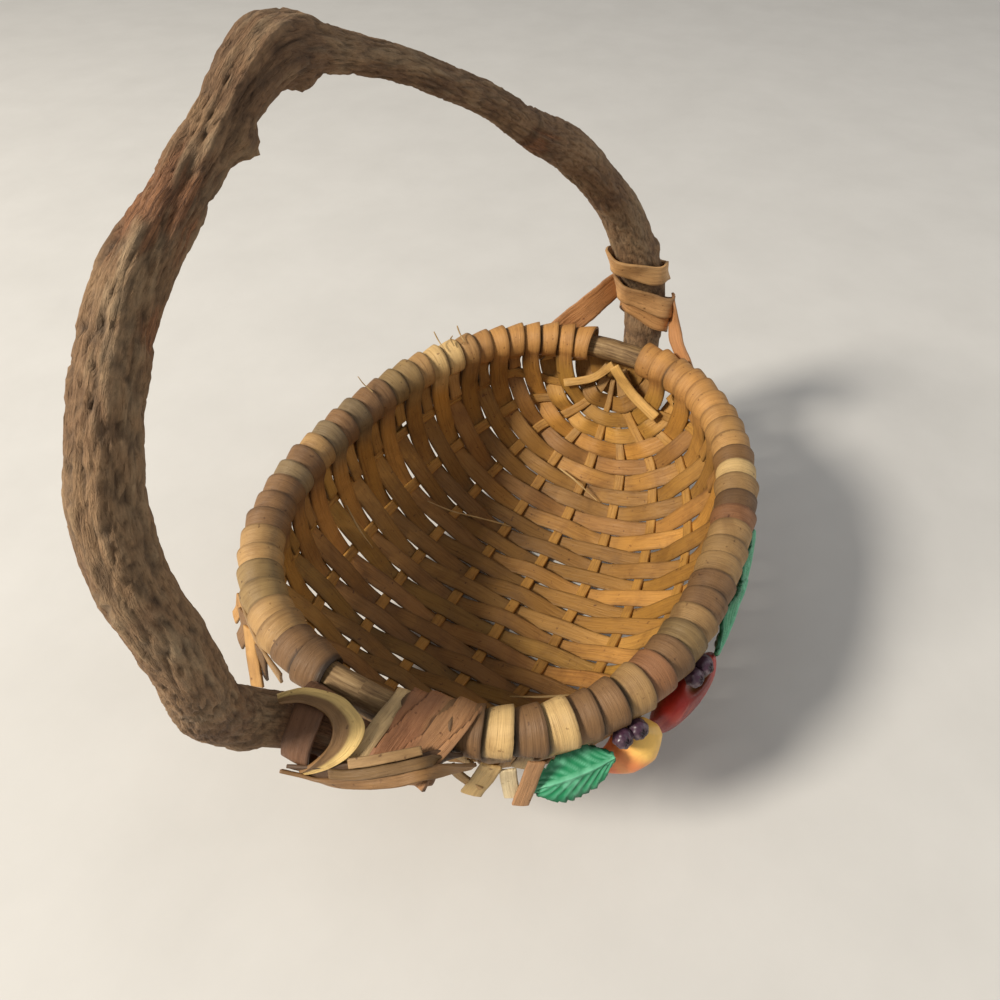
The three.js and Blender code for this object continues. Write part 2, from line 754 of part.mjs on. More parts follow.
// Lashings at the far end: three bands on the branch and a strip down to the rim on each side.
const upperBandDegrees = 12;
const lowerBandDegrees = 10;
const farMiddleBand = farLowerBand + farBandWidth + farBandGap;
const farUpperBand = farMiddleBand + farBandWidth + farBandGap * 4;
addPiece('far_band_upper', handleBandGeometry(farUpperBand, upperBandDegrees, farUpperBandWidth),
  tanSplint, 0.75);
addPiece('far_band_middle', handleBandGeometry(farMiddleBand, lowerBandDegrees, farBandWidth),
  tanSplint, 0.75);
addPiece('far_band_lower', handleBandGeometry(farLowerBand, lowerBandDegrees, farBandWidth), tanSplint, 0.75);
const farStripShare = (farMiddleBand + farBandWidth / 2) / handleLine.getLength();
const farLeftStrip = [
  besideBranch(farStripShare, leftAndAway, overBand * 2.2),
  besideRim(lastRow - 0.2, 1, -rimTwigDiameter, farBandWidth / 2),
  besideRim(lastRow - 1.4, 1, 0, 0),
  besideRim(lastRow - 1.9, 1, rimTwigDiameter * 0.8, 0),
];
addPiece('far_strip_left', stripGeometry(farLeftStrip, farLeftStripWidth), tanSplint, 0.75);
const farRightStrip = [
  besideBranch(farStripShare, rightward, overBand * 3),
  besideRim(lastRow - 0.3, -1, -rimTwigDiameter, farBandWidth / 2),
  besideRim(lastRow - 1.6, -1, 0, 0),
  besideRim(lastRow - 2.2, -1, rimTwigDiameter * 0.8, 0),
];
addPiece('far_strip_right', stripGeometry(farRightStrip, stripWidth), tanSplint, 0.75);

// Lashings at the near end: a band on the foot, two wraps and a wide splint round foot and rim, and
// loose strips under the foot and beside it.
const curled = (side, lift) => wrapEdge(side, lift, rimTwigDiameter / 2, curledTurn);
const slanted = (side, lift) => wrapEdge(side, lift, rimTwigDiameter / 2, slantedTurn);
const wideSplintFrom = THREE.MathUtils.degToRad(-23);
const wideSplintTo = THREE.MathUtils.degToRad(298);
const roundTurns = (side, lift) =>
  wrapEdge(side, lift, turnOuterRadius, slantedTurn, wideSplintFrom, wideSplintTo);
const footBandShares = [0.8, 0.47];
const firstWrapShares = [0.38, -0.08];
const secondWrapShares = [-0.36, -0.66];
const wideSplintShares = [-0.76, -2.2];
addPiece('near_foot_band', wrapGeometry(footBandEdge, footBandShares, true), brownSplint, 0.8);
addPiece('near_wrap_1', wrapGeometry(curled, firstWrapShares, true), paleSplint, 0.7);
addPiece('near_wrap_2', wrapGeometry(slanted, secondWrapShares, true), paleSplint, 0.7);
addPiece('near_wide_splint', wrapGeometry(roundTurns, wideSplintShares, false), redSplint, 0.75);
const underFoot = new THREE.Vector3(-0.5, 0, -1);
const underStripShares = [0.6, -0.6, -1.8];
const nearStripUnder = [
  ...underStripShares.map((share) =>
    besideBranch(footShareAt(share * bareRimLength / 2), underFoot, overBand * 1.7)),
  besideRim(3.2, -1, rimTwigDiameter * 0.5, 0),
];
addPiece('near_strip_under', stripGeometry(nearStripUnder, stripWidth), tanSplint, 0.75);
const nearStripLeft = [
  besideRim(4.6, 1, rimTwigDiameter * 0.3, 0),
  besideRim(3, 1, rimTwigDiameter * 0.6, 0),
  besideRim(1.4, 1, rimTwigDiameter, 0),
];
addPiece('near_strip_left', stripGeometry(nearStripLeft, stripWidth), tanSplint, 0.75);

// Ornament glued to the outside of the -Y wall, just under the rim.
const leafGreen = 0x1f7a55;
const berryPurple = 0x33202c;
const frontLeafDegrees = 40;
const backLeafDegrees = 4;
const frontLeafShares = [[0.32, 0.57, 0.66], [-1.1, 0.98, 0.63]];
const firstBackLeafShares = [[0, 0.85, 0.6], [2.08, 0.78, 0.61]];
const secondBackLeafShares = [[1.66, 0.85, 0.6], [3.53, 0.74, 0.58]];
const frontBerryShares = [[0, 0.62, 1.4], [0.78, 0.6, 1.42]];
const backBerryShares = [[0, 0.66, 1.42], [0.8, 0.6, 1.44], [1.2, 1.14, 1.32]];
addPiece('leaf_front', leafGeometry(6.1, frontLeafShares, frontLeafDegrees, leafWidth), leafGreen, 0.45);
addPiece('fruit_yellow', hookedFruitGeometry(8.5), 0xf0b45c, 0.4);
addPiece('berries_front', berriesGeometry(7.1, frontBerryShares), berryPurple, 0.35);
addPiece('fruit_red', roundFruitGeometry(11.4, fruitRedDiameter, fruitRedThickness), 0xb03030, 0.4);
addPiece('berries_back', berriesGeometry(10.6, backBerryShares), berryPurple, 0.35);
addPiece('leaves_back', joined([
  leafGeometry(12.7, firstBackLeafShares, backLeafDegrees, leafWidth),
  leafGeometry(12.7, secondBackLeafShares, backLeafDegrees, leafWidth),
]), leafGreen, 0.45);

// The origin lies on the table, under the middle of the basket and its handle.
const reach = new THREE.Box3().setFromObject(basket);
const middle = reach.getCenter(new THREE.Vector3());
basket.position.set(-middle.x, -middle.y, -reach.min.z);

export default basket;
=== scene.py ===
"""Gathering basket: splints woven over ribs on an oval twig rim, with a gnarled branch for a handle."""
import math

import bpy
import numpy as np
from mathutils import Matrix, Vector, noise


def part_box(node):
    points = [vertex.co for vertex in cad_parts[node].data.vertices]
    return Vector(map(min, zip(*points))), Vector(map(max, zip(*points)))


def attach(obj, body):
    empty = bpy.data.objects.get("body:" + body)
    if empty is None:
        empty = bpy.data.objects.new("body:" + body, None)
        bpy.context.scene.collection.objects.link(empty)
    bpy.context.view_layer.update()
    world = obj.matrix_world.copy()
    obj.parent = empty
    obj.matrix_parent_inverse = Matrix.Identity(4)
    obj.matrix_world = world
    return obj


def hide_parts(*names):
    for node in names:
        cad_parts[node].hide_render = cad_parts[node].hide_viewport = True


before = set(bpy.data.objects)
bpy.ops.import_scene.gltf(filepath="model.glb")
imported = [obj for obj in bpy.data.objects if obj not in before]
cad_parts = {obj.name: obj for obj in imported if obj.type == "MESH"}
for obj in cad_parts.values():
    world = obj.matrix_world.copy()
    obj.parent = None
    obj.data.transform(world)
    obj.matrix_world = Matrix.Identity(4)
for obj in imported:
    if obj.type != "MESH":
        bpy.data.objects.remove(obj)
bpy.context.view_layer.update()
bpy.ops.object.select_all(action="DESELECT")

# All sizes below are in millimetres from the rim's centre, with x to the far end and y to the left.
MM = 0.001
rim_low, rim_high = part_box("rim_hoop")
RIM_CENTRE = (np.array(rim_low) + np.array(rim_high)) / 2
UP = np.array([0.0, 0.0, 1.0])

RIM_LENGTH, RIM_WIDTH, TWIG = 240.0, 189.0, 12.0
BOWL_DEPTH, BOTTOM_FLAT, BARE_RIM, FIRST_ROW_DROP = 92.0, 4.0, 32.0, 28.0
RIM_SQUARENESS, BOWL_SQUARENESS, RIM_TAPER = 2.33, 2.3, 0.08
ROWS, RIBS, ROW_GAP = 32, 9, 0.9
SPLINT, LASHING, RIB_WIDTH, RIB_THICKNESS, CLEAR = 1.2, 1.3, 5.5, 2.2, 0.35
HANDLE_HEIGHT, HANDLE_THICKNESS = 187.0, 24.0
# The solids' turns have corners, and these keep their flats clear of what they go round.
RIM_FLATS, FOOT_FLATS, BRANCH_FLATS = [math.cos(math.pi / sides) for sides in (9, 10, 12)]
# The branch's radius with room for its knots is so many times its own.
KNOT_ROOM = 1.1
TURN_RADIUS = (TWIG / 2 + CLEAR) / RIM_FLATS + SPLINT / 2
WEAVE_OFFSET = RIB_THICKNESS / 2 + CLEAR + SPLINT / 2
WORN_EDGE = 0.25
# The level way to the right in the photograph
TO_RIGHT = np.array([0.4756, -0.8796, 0.0])


def srgb(red, green, blue):
    """A colour as a paint chart gives it, as Blender's linear values."""
    chart = np.array([red, green, blue]) / 255
    return np.where(chart <= 0.04045, chart / 12.92, ((chart + 0.055) / 1.055) ** 2.4)


def unit(vectors):
    return vectors / np.linalg.norm(vectors, axis=-1, keepdims=True)


def ease(value, low, high):
    """0 below low, 1 above high, and smooth between."""
    t = np.clip((value - low) / (high - low), 0, 1)
    return t * t * (3 - 2 * t)


def peak(away, width):
    """1 where away is 0, falling to 0 over a width on both sides."""
    return np.exp(-(away / width) ** 2)


def ripple(*coordinates):
    """Smooth seeded noise between about -1 and 1 at each row of coordinates."""
    places = np.broadcast_arrays(*coordinates)
    flat = np.stack([np.ravel(place) for place in places], axis=1)
    values = np.array([noise.noise(Vector(place)) for place in flat])
    return values.reshape(places[0].shape)


def smooth_through(knots, values, at):
    """A smooth curve through values given at the lengths knots, read at the lengths at."""
    slopes = np.gradient(values, knots, axis=0)
    i = np.clip(np.searchsorted(knots, at, side="right") - 1, 0, len(knots) - 2)
    step = (knots[i + 1] - knots[i])[:, None]
    t = (at - knots[i])[:, None] / step
    return ((1 + 2 * t) * (1 - t) ** 2 * values[i] + t * (1 - t) ** 2 * step * slopes[i]
            + t * t * (3 - 2 * t) * values[i + 1] + t * t * (t - 1) * step * slopes[i + 1])


def lengths_along(points):
    return np.concatenate([[0.0], np.cumsum(np.linalg.norm(np.diff(points, axis=0), axis=1))])


def heading(run, points, at, step):
    """Which way a course through points runs at the lengths at."""
    return (smooth_through(run, points, np.minimum(at + step, run[-1]))
            - smooth_through(run, points, np.maximum(at - step, 0)))


def read_edges(run, at, low, high, faces):
    """Both edges of a splint and the way its outer side looks, at the lengths at."""
    face = unit(smooth_through(run, faces, at))
    return smooth_through(run, low, at), smooth_through(run, high, at), face


def between(at, knots, rows):
    """Places or ways, given in rows at the knots, read between them."""
    return np.stack([np.interp(at, knots, rows[:, k]) for k in range(3)], axis=-1)


def blend(first, second, part):
    """The first colour where part is 0, the second where it is 1."""
    part = np.asarray(part)[..., None]
    return first * (1 - part) + second * part


def edge_wear(across, sharpness=6):
    """0 over the middle of a strip, and 1 at both of its edges."""
    return np.clip(np.abs(across - 0.5) * 2, 0, 1) ** sharpness


def round_way(angle, first, second):
    """The ways out of a rod, at angles from the first way across it towards the second."""
    return first * np.cos(angle)[:, None] + second * np.sin(angle)[:, None]


def upright_way(turn):
    """A way along the basket, turned up from the far end."""
    return np.array([math.cos(turn), 0, math.sin(turn)])


class Line:
    """A line through close points, read by the share of its length."""

    def __init__(self, points):
        self.points = points
        run = lengths_along(points)
        self.length = run[-1]
        self.shares = run / run[-1]

    def at(self, share):
        return between(np.clip(share, 0, 1), self.shares, self.points)

    def direction(self, share, span=0.003):
        return unit(self.at(np.asarray(share) + span) - self.at(np.asarray(share) - span))


def squarish(turn, squareness):
    """How far along and out an oval, squarer than an ellipse, lies at each turn."""
    cosine = np.cos(turn)
    along = np.sign(cosine) * np.abs(cosine) ** (2 / squareness)
    return along, np.abs(np.sin(turn)) ** (2 / squareness)


def half_oval(half_length, reach, squareness, taper):
    turn = np.linspace(math.pi, 0, 4001)
    along, out = squarish(turn, squareness)
    out = out * (1 - taper * np.cos(turn))
    return Line(np.stack([half_length * along, reach * out, 0 * out], axis=1))


RIM_SIDE = half_oval(RIM_LENGTH / 2, RIM_WIDTH / 2, RIM_SQUARENESS, RIM_TAPER)
KEEL = half_oval(RIM_LENGTH / 2, BOWL_DEPTH, BOWL_SQUARENESS, 0)
PITCH = (RIM_SIDE.length - BARE_RIM) / ROWS
HALF_ROW = 0.5 - ROW_GAP / 2 / PITCH
# The wall starts so many rows before the first weaver and ends as far past the last one.
END_ROWS = 1.5
# Where the ribs gather they lie at this share of their even distance, and spread over so many rows.
GATHERED, GATHER_ROWS = 0.45, 6


def row_share(row, line, bare):
    """How far along the rim or the keel a row lies."""
    pitch = (line.length - 2 * bare) / ROWS
    from_far = ROWS - 1 - row
    if row < -0.5:
        return bare * (row + END_ROWS) / line.length
    if from_far < -0.5:
        return 1 - bare * (from_far + END_ROWS) / line.length
    return (bare + pitch * (row + 0.5)) / line.length


def flattened(depth):
    """The bowl's lowest part is pressed flat."""
    bottom = BOWL_DEPTH - BOTTOM_FLAT
    past = depth - bottom
    eased = bottom - (BOTTOM_FLAT - past) ** 2 / (4 * BOTTOM_FLAT)
    return np.where(past <= -BOTTOM_FLAT, depth, np.where(past >= BOTTOM_FLAT, bottom, eased))


row_lines = {}


def row_line(row):
    """The line of one row across the bowl, from the left rim down to the keel and up to the right rim."""
    if row not in row_lines:
        rim = RIM_SIDE.at(row_share(row, RIM_SIDE, BARE_RIM / 2))
        keel = KEEL.at(row_share(row, KEEL, FIRST_ROW_DROP))
        side, drop = squarish(np.linspace(0, math.pi, 601), BOWL_SQUARENESS)
        x = rim[0] + (keel[0] - rim[0]) * drop * drop
        row_lines[row] = Line(np.stack([x, rim[1] * side, -flattened(keel[1] * drop)], axis=1))
    return row_lines[row]


def wall(row, share):
    return row_line(row).at(share)


def wall_normal(row, share):
    along = wall(row + 0.25, share) - wall(row - 0.25, share)
    across = wall(row, share + 0.02) - wall(row, share - 0.02)
    return unit(np.cross(along, across))


def rim_place(row, side):
    """The rim twig's centre at a row, and the level way out of the basket."""
    share = row_share(row, RIM_SIDE, BARE_RIM / 2)
    centre = RIM_SIDE.at(share)
    tangent = RIM_SIDE.direction(share, 0.004)
    return centre * [1, side, 1], np.array([-tangent[1], side * tangent[0], 0])


def spread_out(row):
    """0 where the ribs gather at both ends, and 1 where they lie evenly apart."""
    return ease(min(row, ROWS - 1 - row) + END_ROWS, 0, GATHER_ROWS)


def rib_share(rib, row):
    even = (rib + 1) / (RIBS + 1)
    return 0.5 + (even - 0.5) * (GATHERED + (1 - GATHERED) * spread_out(row))


def ribs_in_row(row):
    """All the ribs, or every other one in the two rows next to each end."""
    near_end = min(row, ROWS - 1 - row) < 2
    return [rib for rib in range(RIBS) if not near_end or rib % 2 == 0]


# The handle branch: places by shares of the distance to a foot and of the handle's height, then by
# shares of the bare stretch of rim in the elbow, and the thickness as a share of the greatest.
ARCH = [
    (0.985, -0.045, -0.16, 0.74), (0.99, -0.035, -0.05, 0.86), (1.0, -0.028, 0.08, 0.96),
    (1.005, -0.016, 0.17, 1.0), (0.945, 0.01, 0.283, 0.97), (0.86, 0.043, 0.412, 0.88),
    (0.715, 0.07, 0.53, 0.79), (0.536, 0.1, 0.647, 0.74), (0.35, 0.123, 0.728, 0.6),
    (0.178, 0.144, 0.813, 0.51), (0.0, 0.166, 0.882, 0.47), (-0.12, 0.177, 0.925, 0.46),
    (-0.235, 0.187, 0.957, 0.48), (-0.32, 0.192, 0.978, 0.57), (-0.393, 0.198, 0.995, 0.76),
    (-0.47, 0.198, 1.0, 0.8), (-0.535, 0.198, 0.984, 0.74), (-0.62, 0.193, 0.952, 0.64),
    (-0.74, 0.187, 0.904, 0.65), (-0.82, 0.182, 0.872, 0.69), (-0.907, 0.176, 0.829, 0.71),
    (-1.02, 0.16, 0.743, 0.73), (-1.07, 0.15, 0.69, 0.75), (-1.114, 0.139, 0.631, 0.77),
    (-1.15, 0.118, 0.535, 0.81), (-1.157, 0.096, 0.438, 0.83), (-1.157, 0.09, 0.348, 0.8),
    (-1.15, 0.105, 0.262, 0.83),
]
ELBOW = [
    (-1.13, 0.73, 0.99, 0.92), (-1.085, 0.82, 0.5, 0.98), (-1.02, 0.585, 0.175, 0.88),
    (-0.985, 0.105, 0.09, 0.76), (-0.968, -0.29, 0.0, 0.68), (-0.955, -0.73, -0.06, 0.6),
    (-0.94, -1.17, -0.09, 0.5),
]
HANDLE_SEAT = RIM_LENGTH / 2 + TURN_RADIUS + SPLINT / 2 + CLEAR + HANDLE_THICKNESS / 2

SPLINE_STEPS = 24


def spline(places, steps=SPLINE_STEPS):
    """Close points on the spline through places, drawn as a bent branch or strip runs."""
    places = np.vstack([2 * places[0] - places[1], places, 2 * places[-1] - places[-2]])
    t = np.linspace(0, 1, steps, endpoint=False)[:, None]
    points = []
    for a, b, c, d in zip(places, places[1:], places[2:], places[3:]):
        before, here, after = [np.linalg.norm(q - p) ** 0.5 for p, q in ((a, b), (b, c), (c, d))]
        start = ((b - a) / before - (c - a) / (before + here) + (c - b) / here) * here
        end = ((c - b) / here - (d - b) / (here + after) + (d - c) / after) * here
        points.append(b + start * t + (3 * (c - b) - 2 * start - end) * t ** 2
                      + (2 * (b - c) + start + end) * t ** 3)
    return np.vstack(points + [places[-2]])


handle_places = np.array(
    [(x * HANDLE_SEAT, y * HANDLE_HEIGHT, z * HANDLE_HEIGHT) for x, y, z, _ in ARCH]
    + [(x * HANDLE_SEAT, y * BARE_RIM, z * BARE_RIM) for x, y, z, _ in ELBOW])
handle_thickness = [place[3] for place in ARCH + ELBOW]
HANDLE = Line(spline(handle_places))
handle_stations = HANDLE.shares[::SPLINE_STEPS]


def handle_radius(share):
    return np.interp(share, handle_stations, handle_thickness) * HANDLE_THICKNESS / 2


# Making pieces

def select_only(piece):
    bpy.ops.object.select_all(action="DESELECT")
    piece.select_set(True)
    bpy.context.view_layer.objects.active = piece


def blank(name, lengthways, across):
    """A flat sheet of wood in small squares, from which a strip is laid or a rod is rolled."""
    bpy.ops.mesh.primitive_grid_add(x_subdivisions=lengthways, y_subdivisions=across, size=1)
    piece = bpy.context.object
    piece.name = name
    piece.data.name = name
    return piece


def vertex_table(piece):
    places = np.empty(len(piece.data.vertices) * 3)
    piece.data.vertices.foreach_get("co", places)
    return places.reshape(-1, 3)


def put(piece, laid):
    """Puts a piece's points at places in millimetres from the rim's centre."""
    piece.data.vertices.foreach_set("co", (RIM_CENTRE + laid * MM).ravel())


def corner_points(piece):
    """The number of the point at each corner of a piece's faces."""
    corners = np.empty(len(piece.data.loops), dtype=np.int32)
    piece.data.loops.foreach_get("vertex_index", corners)
    return corners


def lay(piece, place_of, grain_start, stretch):
    """Puts each point of a blank where place_of(along, across) says, and gives the grain its own map
    in millimetres along and across."""
    flat = vertex_table(piece)
    along, across = flat[:, 0] + 0.5, flat[:, 1] + 0.5
    put(piece, place_of(along, across))
    grain = np.stack([along * stretch[0] + grain_start, across * stretch[1]], axis=1)
    piece.data.uv_layers[0].data.foreach_set("uv", grain[corner_points(piece)].ravel())
    piece.data.update()
    return along, across


def paint(piece, name, colours):
    """Keeps a colour for each point of a piece, given as rows of red, green and blue."""
    layer = piece.data.color_attributes.new(name, "FLOAT_COLOR", "CORNER")
    rows = np.concatenate([np.clip(colours, 0, 1), np.ones((len(colours), 1))], axis=1)
    layer.data.foreach_set("color", rows[corner_points(piece)].ravel())


def close_rolled(piece, endless=False):
    """Joins the seams of a blank that was rolled into a rod, and closes its ends."""
    select_only(piece)
    bpy.ops.object.mode_set(mode="EDIT")
    bpy.ops.mesh.select_all(action="SELECT")
    bpy.ops.mesh.remove_doubles(threshold=1e-6)
    if not endless:
        bpy.ops.mesh.select_all(action="DESELECT")
        bpy.ops.mesh.select_mode(type="EDGE")
        bpy.ops.mesh.select_non_manifold()
        bpy.ops.mesh.edge_face_add()
    bpy.ops.mesh.select_all(action="SELECT")
    bpy.ops.mesh.normals_make_consistent(inside=False)
    bpy.ops.mesh.select_mode(type="VERT")
    bpy.ops.object.mode_set(mode="OBJECT")


def thicken(piece, thickness, edge=WORN_EDGE):
    """Gives a laid splint its thickness, with worn edges."""
    select_only(piece)
    bpy.ops.object.modifier_add(type="SOLIDIFY")
    solid = piece.modifiers[-1]
    solid.thickness = thickness * MM
    solid.offset = 0
    bpy.ops.object.modifier_add(type="BEVEL")
    worn = piece.modifiers[-1]
    worn.width = edge * MM
    worn.segments = 1
    worn.limit_method = "ANGLE"
    worn.angle_limit = math.radians(50)
    for modifier in list(piece.modifiers):
        bpy.ops.object.modifier_apply(modifier=modifier.name)


def join(name, pieces):
    bpy.ops.object.select_all(action="DESELECT")
    for piece in pieces:
        piece.select_set(True)
    bpy.context.view_layer.objects.active = pieces[0]
    bpy.ops.object.join()
    pieces[0].name = name
    return pieces[0]


def hand_over(piece, material, slot, *nodes, smooth=60):
    """Shades a finished piece, gives it its finish and lets it ride in place of its solids."""
    select_only(piece)
    bpy.ops.object.shade_smooth_by_angle(angle=math.radians(smooth))
    piece.data.materials.clear()
    piece.data.materials.append(material)
    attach(piece, "root")
    if nodes:
        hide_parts(*nodes)
    piece.select_set(False)


def finish_splint(piece, tones, material, slot, *nodes, thickness=SPLINT, edge=WORN_EDGE):
    """Paints a laid splint, gives it its thickness and hands it over."""
    paint(piece, "tone", tones)
    thicken(piece, thickness, edge)
    hand_over(piece, material, slot, *nodes)


# Finishes

class Finish:
    """A material whose nodes are added from left to right."""

    def __init__(self, name, roughness):
        self.material = bpy.data.materials.new(name)
        self.material.use_nodes = True
        self.tree = self.material.node_tree
        self.shader = self.tree.nodes["Principled BSDF"]
        self.shader.inputs["Roughness"].default_value = roughness

    def add(self, kind, **settings):
        node = self.tree.nodes.new(kind)
        for name, value in settings.items():
            setattr(node, name, value)
        return node

    def link(self, source, target):
        self.tree.links.new(source, target)

    def noise(self, scale, detail, roughness, distortion=0.0):
        """Noise along and across the piece's own grain for a pair of scales, or even all round for one."""
        even = np.isscalar(scale)
        coordinates = self.add("ShaderNodeTexCoord")
        mapping = self.add("ShaderNodeMapping")
        mapping.inputs["Scale"].default_value = (scale,) * 3 if even else (*scale, 1)
        self.link(coordinates.outputs["Object" if even else "UV"], mapping.inputs["Vector"])
        node = self.add("ShaderNodeTexNoise")
        for name, value in (("Scale", 1), ("Detail", detail), ("Roughness", roughness),
                            ("Distortion", distortion)):
            node.inputs[name].default_value = value
        self.link(mapping.outputs["Vector"], node.inputs["Vector"])
        return node.outputs["Fac"]

    def ramp(self, factor, *stops):
        """Colours or greys by place from 0 to 1."""
        node = self.add("ShaderNodeValToRGB")
        while len(node.color_ramp.elements) < len(stops):
            node.color_ramp.elements.new(0.5)
        for element, (place, value) in zip(node.color_ramp.elements, stops):
            element.position = place
            colour = (value,) * 3 if np.isscalar(value) else tuple(value)
            element.color = (*colour, 1)
        self.link(factor, node.inputs["Fac"])
        return node.outputs["Color"]

    def mix(self, mode, factor, first, second):
        node = self.add("ShaderNodeMix", data_type="RGBA", blend_type=mode)
        for socket, value in zip((node.inputs[0], node.inputs[6], node.inputs[7]),
                                 (factor, first, second)):
            if isinstance(value, bpy.types.NodeSocket):
                self.link(value, socket)
            elif np.isscalar(value):
                socket.default_value = value
            else:
                socket.default_value = (*value, 1)
        return node.outputs[2]

    def darkened(self, colour, amount, factor, *stops):
        return self.mix("MULTIPLY", amount, colour, self.ramp(factor, *stops))

    def times(self, factor, amount):
        node = self.add("ShaderNodeMath", operation="MULTIPLY")
        self.link(factor, node.inputs[0])
        node.inputs[1].default_value = amount
        return node.outputs[0]

    def bump(self, height, strength, distance, before=None):
        node = self.add("ShaderNodeBump")
        node.inputs["Strength"].default_value = strength
        node.inputs["Distance"].default_value = distance * MM
        self.link(height, node.inputs["Height"])
        if before is not None:
            self.link(before, node.inputs["Normal"])
        return node.outputs["Normal"]

    def painted(self, name):
        return self.add("ShaderNodeAttribute", attribute_name=name).outputs["Color"]

    def finish(self, colour, normal=None, roughness=None):
        for name, source in (("Base Color", colour), ("Normal", normal), ("Roughness", roughness)):
            if source is not None:
                self.link(source, self.shader.inputs[name])
        return self.material


def split_wood(name, streak, relief):
    """Hand-split wood: streaks and fibres along the strip, with stains, specks and worn edges."""
    wood = Finish(name, 0.6)
    streaks = wood.noise((0.05, 0.8), 5, 0.62, 0.4)
    fibres = wood.noise((0.09, 4.6), 3, 0.6)
    stains = wood.noise(60, 5, 0.6, 0.5)
    specks = wood.noise(420, 2, 0.5)
    colour = wood.darkened(wood.painted("tone"), streak, streaks, (0.3, (0.5, 0.4, 0.28)),
                           (0.5, (0.94, 0.89, 0.8)), (0.72, (1.0, 0.97, 0.88)))
    colour = wood.darkened(colour, 0.55, fibres, (0.32, 0.62), (0.6, 1.0))
    colour = wood.darkened(colour, 0.6, stains, (0.3, (0.5, 0.43, 0.36)), (0.52, 1.0), (0.75, 1.0))
    colour = wood.darkened(colour, 0.8, specks, (0.24, (0.3, 0.2, 0.12)), (0.33, 1.0))
    normal = wood.bump(fibres, relief, 0.5)
    normal = wood.bump(streaks, relief, 0.9, normal)
    rough = wood.ramp(streaks, (0.3, 0.72), (0.7, 0.5))
    return wood.finish(colour, normal, rough)


def bark():
    """Grey-brown bark: patches of age, fine cracks, dark fissures and reddish wood where it has peeled."""
    skin = Finish("weathered_bark", 0.85)
    broad = skin.noise(34, 6, 0.62, 0.5)
    cracks = skin.noise((0.3, 0.95), 6, 0.62, 0.9)
    threads = skin.noise((0.1, 1.9), 3, 0.6, 0.4)
    pores = skin.noise(560, 4, 0.65)
    marks = skin.add("ShaderNodeSeparateColor")
    skin.link(skin.painted("marks"), marks.inputs["Color"])
    fissure, peel, crest = (marks.outputs[name] for name in ("Red", "Green", "Blue"))
    colour = skin.ramp(broad, (0.3, srgb(96, 68, 44)), (0.44, srgb(130, 98, 68)),
                       (0.56, srgb(148, 116, 82)), (0.7, srgb(144, 118, 88)))
    peeled = skin.ramp(threads, (0.3, srgb(104, 66, 42)), (0.7, srgb(166, 114, 74)))
    colour = skin.mix("MIX", peel, colour, peeled)
    colour = skin.darkened(colour, 0.75, cracks, (0.33, (0.4, 0.33, 0.27)), (0.46, 0.9), (0.6, 1.0))
    colour = skin.darkened(colour, 0.45, threads, (0.35, 0.55), (0.6, 1.0))
    colour = skin.mix("MIX", skin.times(crest, 0.4), colour, srgb(182, 160, 126))
    colour = skin.mix("MIX", skin.times(fissure, 0.7), colour, srgb(56, 42, 30))
    colour = skin.darkened(colour, 0.45, pores, (0.35, 0.6), (0.58, 1.0))
    normal = skin.bump(pores, 0.35, 0.5)
    normal = skin.bump(threads, 0.35, 0.8, normal)
    normal = skin.bump(cracks, 0.7, 1.4, normal)
    rough = skin.ramp(cracks, (0.3, 0.95), (0.7, 0.74))
    return skin.finish(colour, normal, rough)


def peeled_twig():
    """The rim's bare twig: brown, whittled, with pale scrapes along it."""
    twig = Finish("whittled_twig", 0.7)
    scrapes = twig.noise((0.06, 0.8), 6, 0.65, 0.5)
    dirt = twig.noise(90, 5, 0.6)
    colour = twig.ramp(scrapes, (0.3, srgb(84, 62, 38)), (0.5, srgb(134, 106, 68)),
                       (0.72, srgb(172, 144, 100)))
    colour = twig.darkened(colour, 0.7, dirt, (0.3, (0.5, 0.42, 0.34)), (0.55, 1.0))
    normal = twig.bump(scrapes, 0.6, 1.0)
    return twig.finish(colour, normal, twig.ramp(scrapes, (0.3, 0.85), (0.7, 0.6)))


def brushed_paint(name, roughness, stroke):
    """Hand-brushed paint over cast resin, with dabs, drips of shade and a soft gloss."""
    coat = Finish(name, roughness)
    strokes = coat.noise(150, 5, 0.6, 1.2)
    grit = coat.noise(900, 3, 0.6)
    colour = coat.darkened(coat.painted("tone"), stroke, strokes, (0.32, 0.62), (0.6, 1.0))
    colour = coat.mix("SCREEN", 0.16, colour, coat.ramp(strokes, (0.62, 0.0), (0.8, 0.7)))
    normal = coat.bump(strokes, 0.35, 0.5)
    normal = coat.bump(grit, 0.25, 0.2, normal)
    return coat.finish(colour, normal, coat.ramp(grit, (0.3, roughness + 0.15), (0.7, roughness - 0.08)))


def floor_paper():
    paper = Finish("pale_floor", 0.9)
    tooth = paper.noise(14, 6, 0.6)
    return paper.finish(paper.ramp(tooth, (0.3, (0.57, 0.56, 0.54)), (0.7, (0.61, 0.6, 0.58))))


splint_finish = split_wood("split_splint", 0.55, 0.5)
rib_finish = split_wood("split_rib", 0.7, 0.6)
lashing_finish = split_wood("lashing_splint_wood", 0.5, 0.55)
bark_finish = bark()
twig_finish = peeled_twig()

# Colours of the splints as they have aged
PALE = srgb(218, 184, 126)
TAN = srgb(184, 146, 94)
OLIVE = srgb(156, 128, 82)
BROWN = srgb(134, 100, 64)
REDDISH = srgb(156, 108, 70)
GREY = srgb(140, 118, 84)
GOLD = srgb(178, 132, 62)
AMBER = srgb(196, 144, 80)

chance = np.random.default_rng(11)
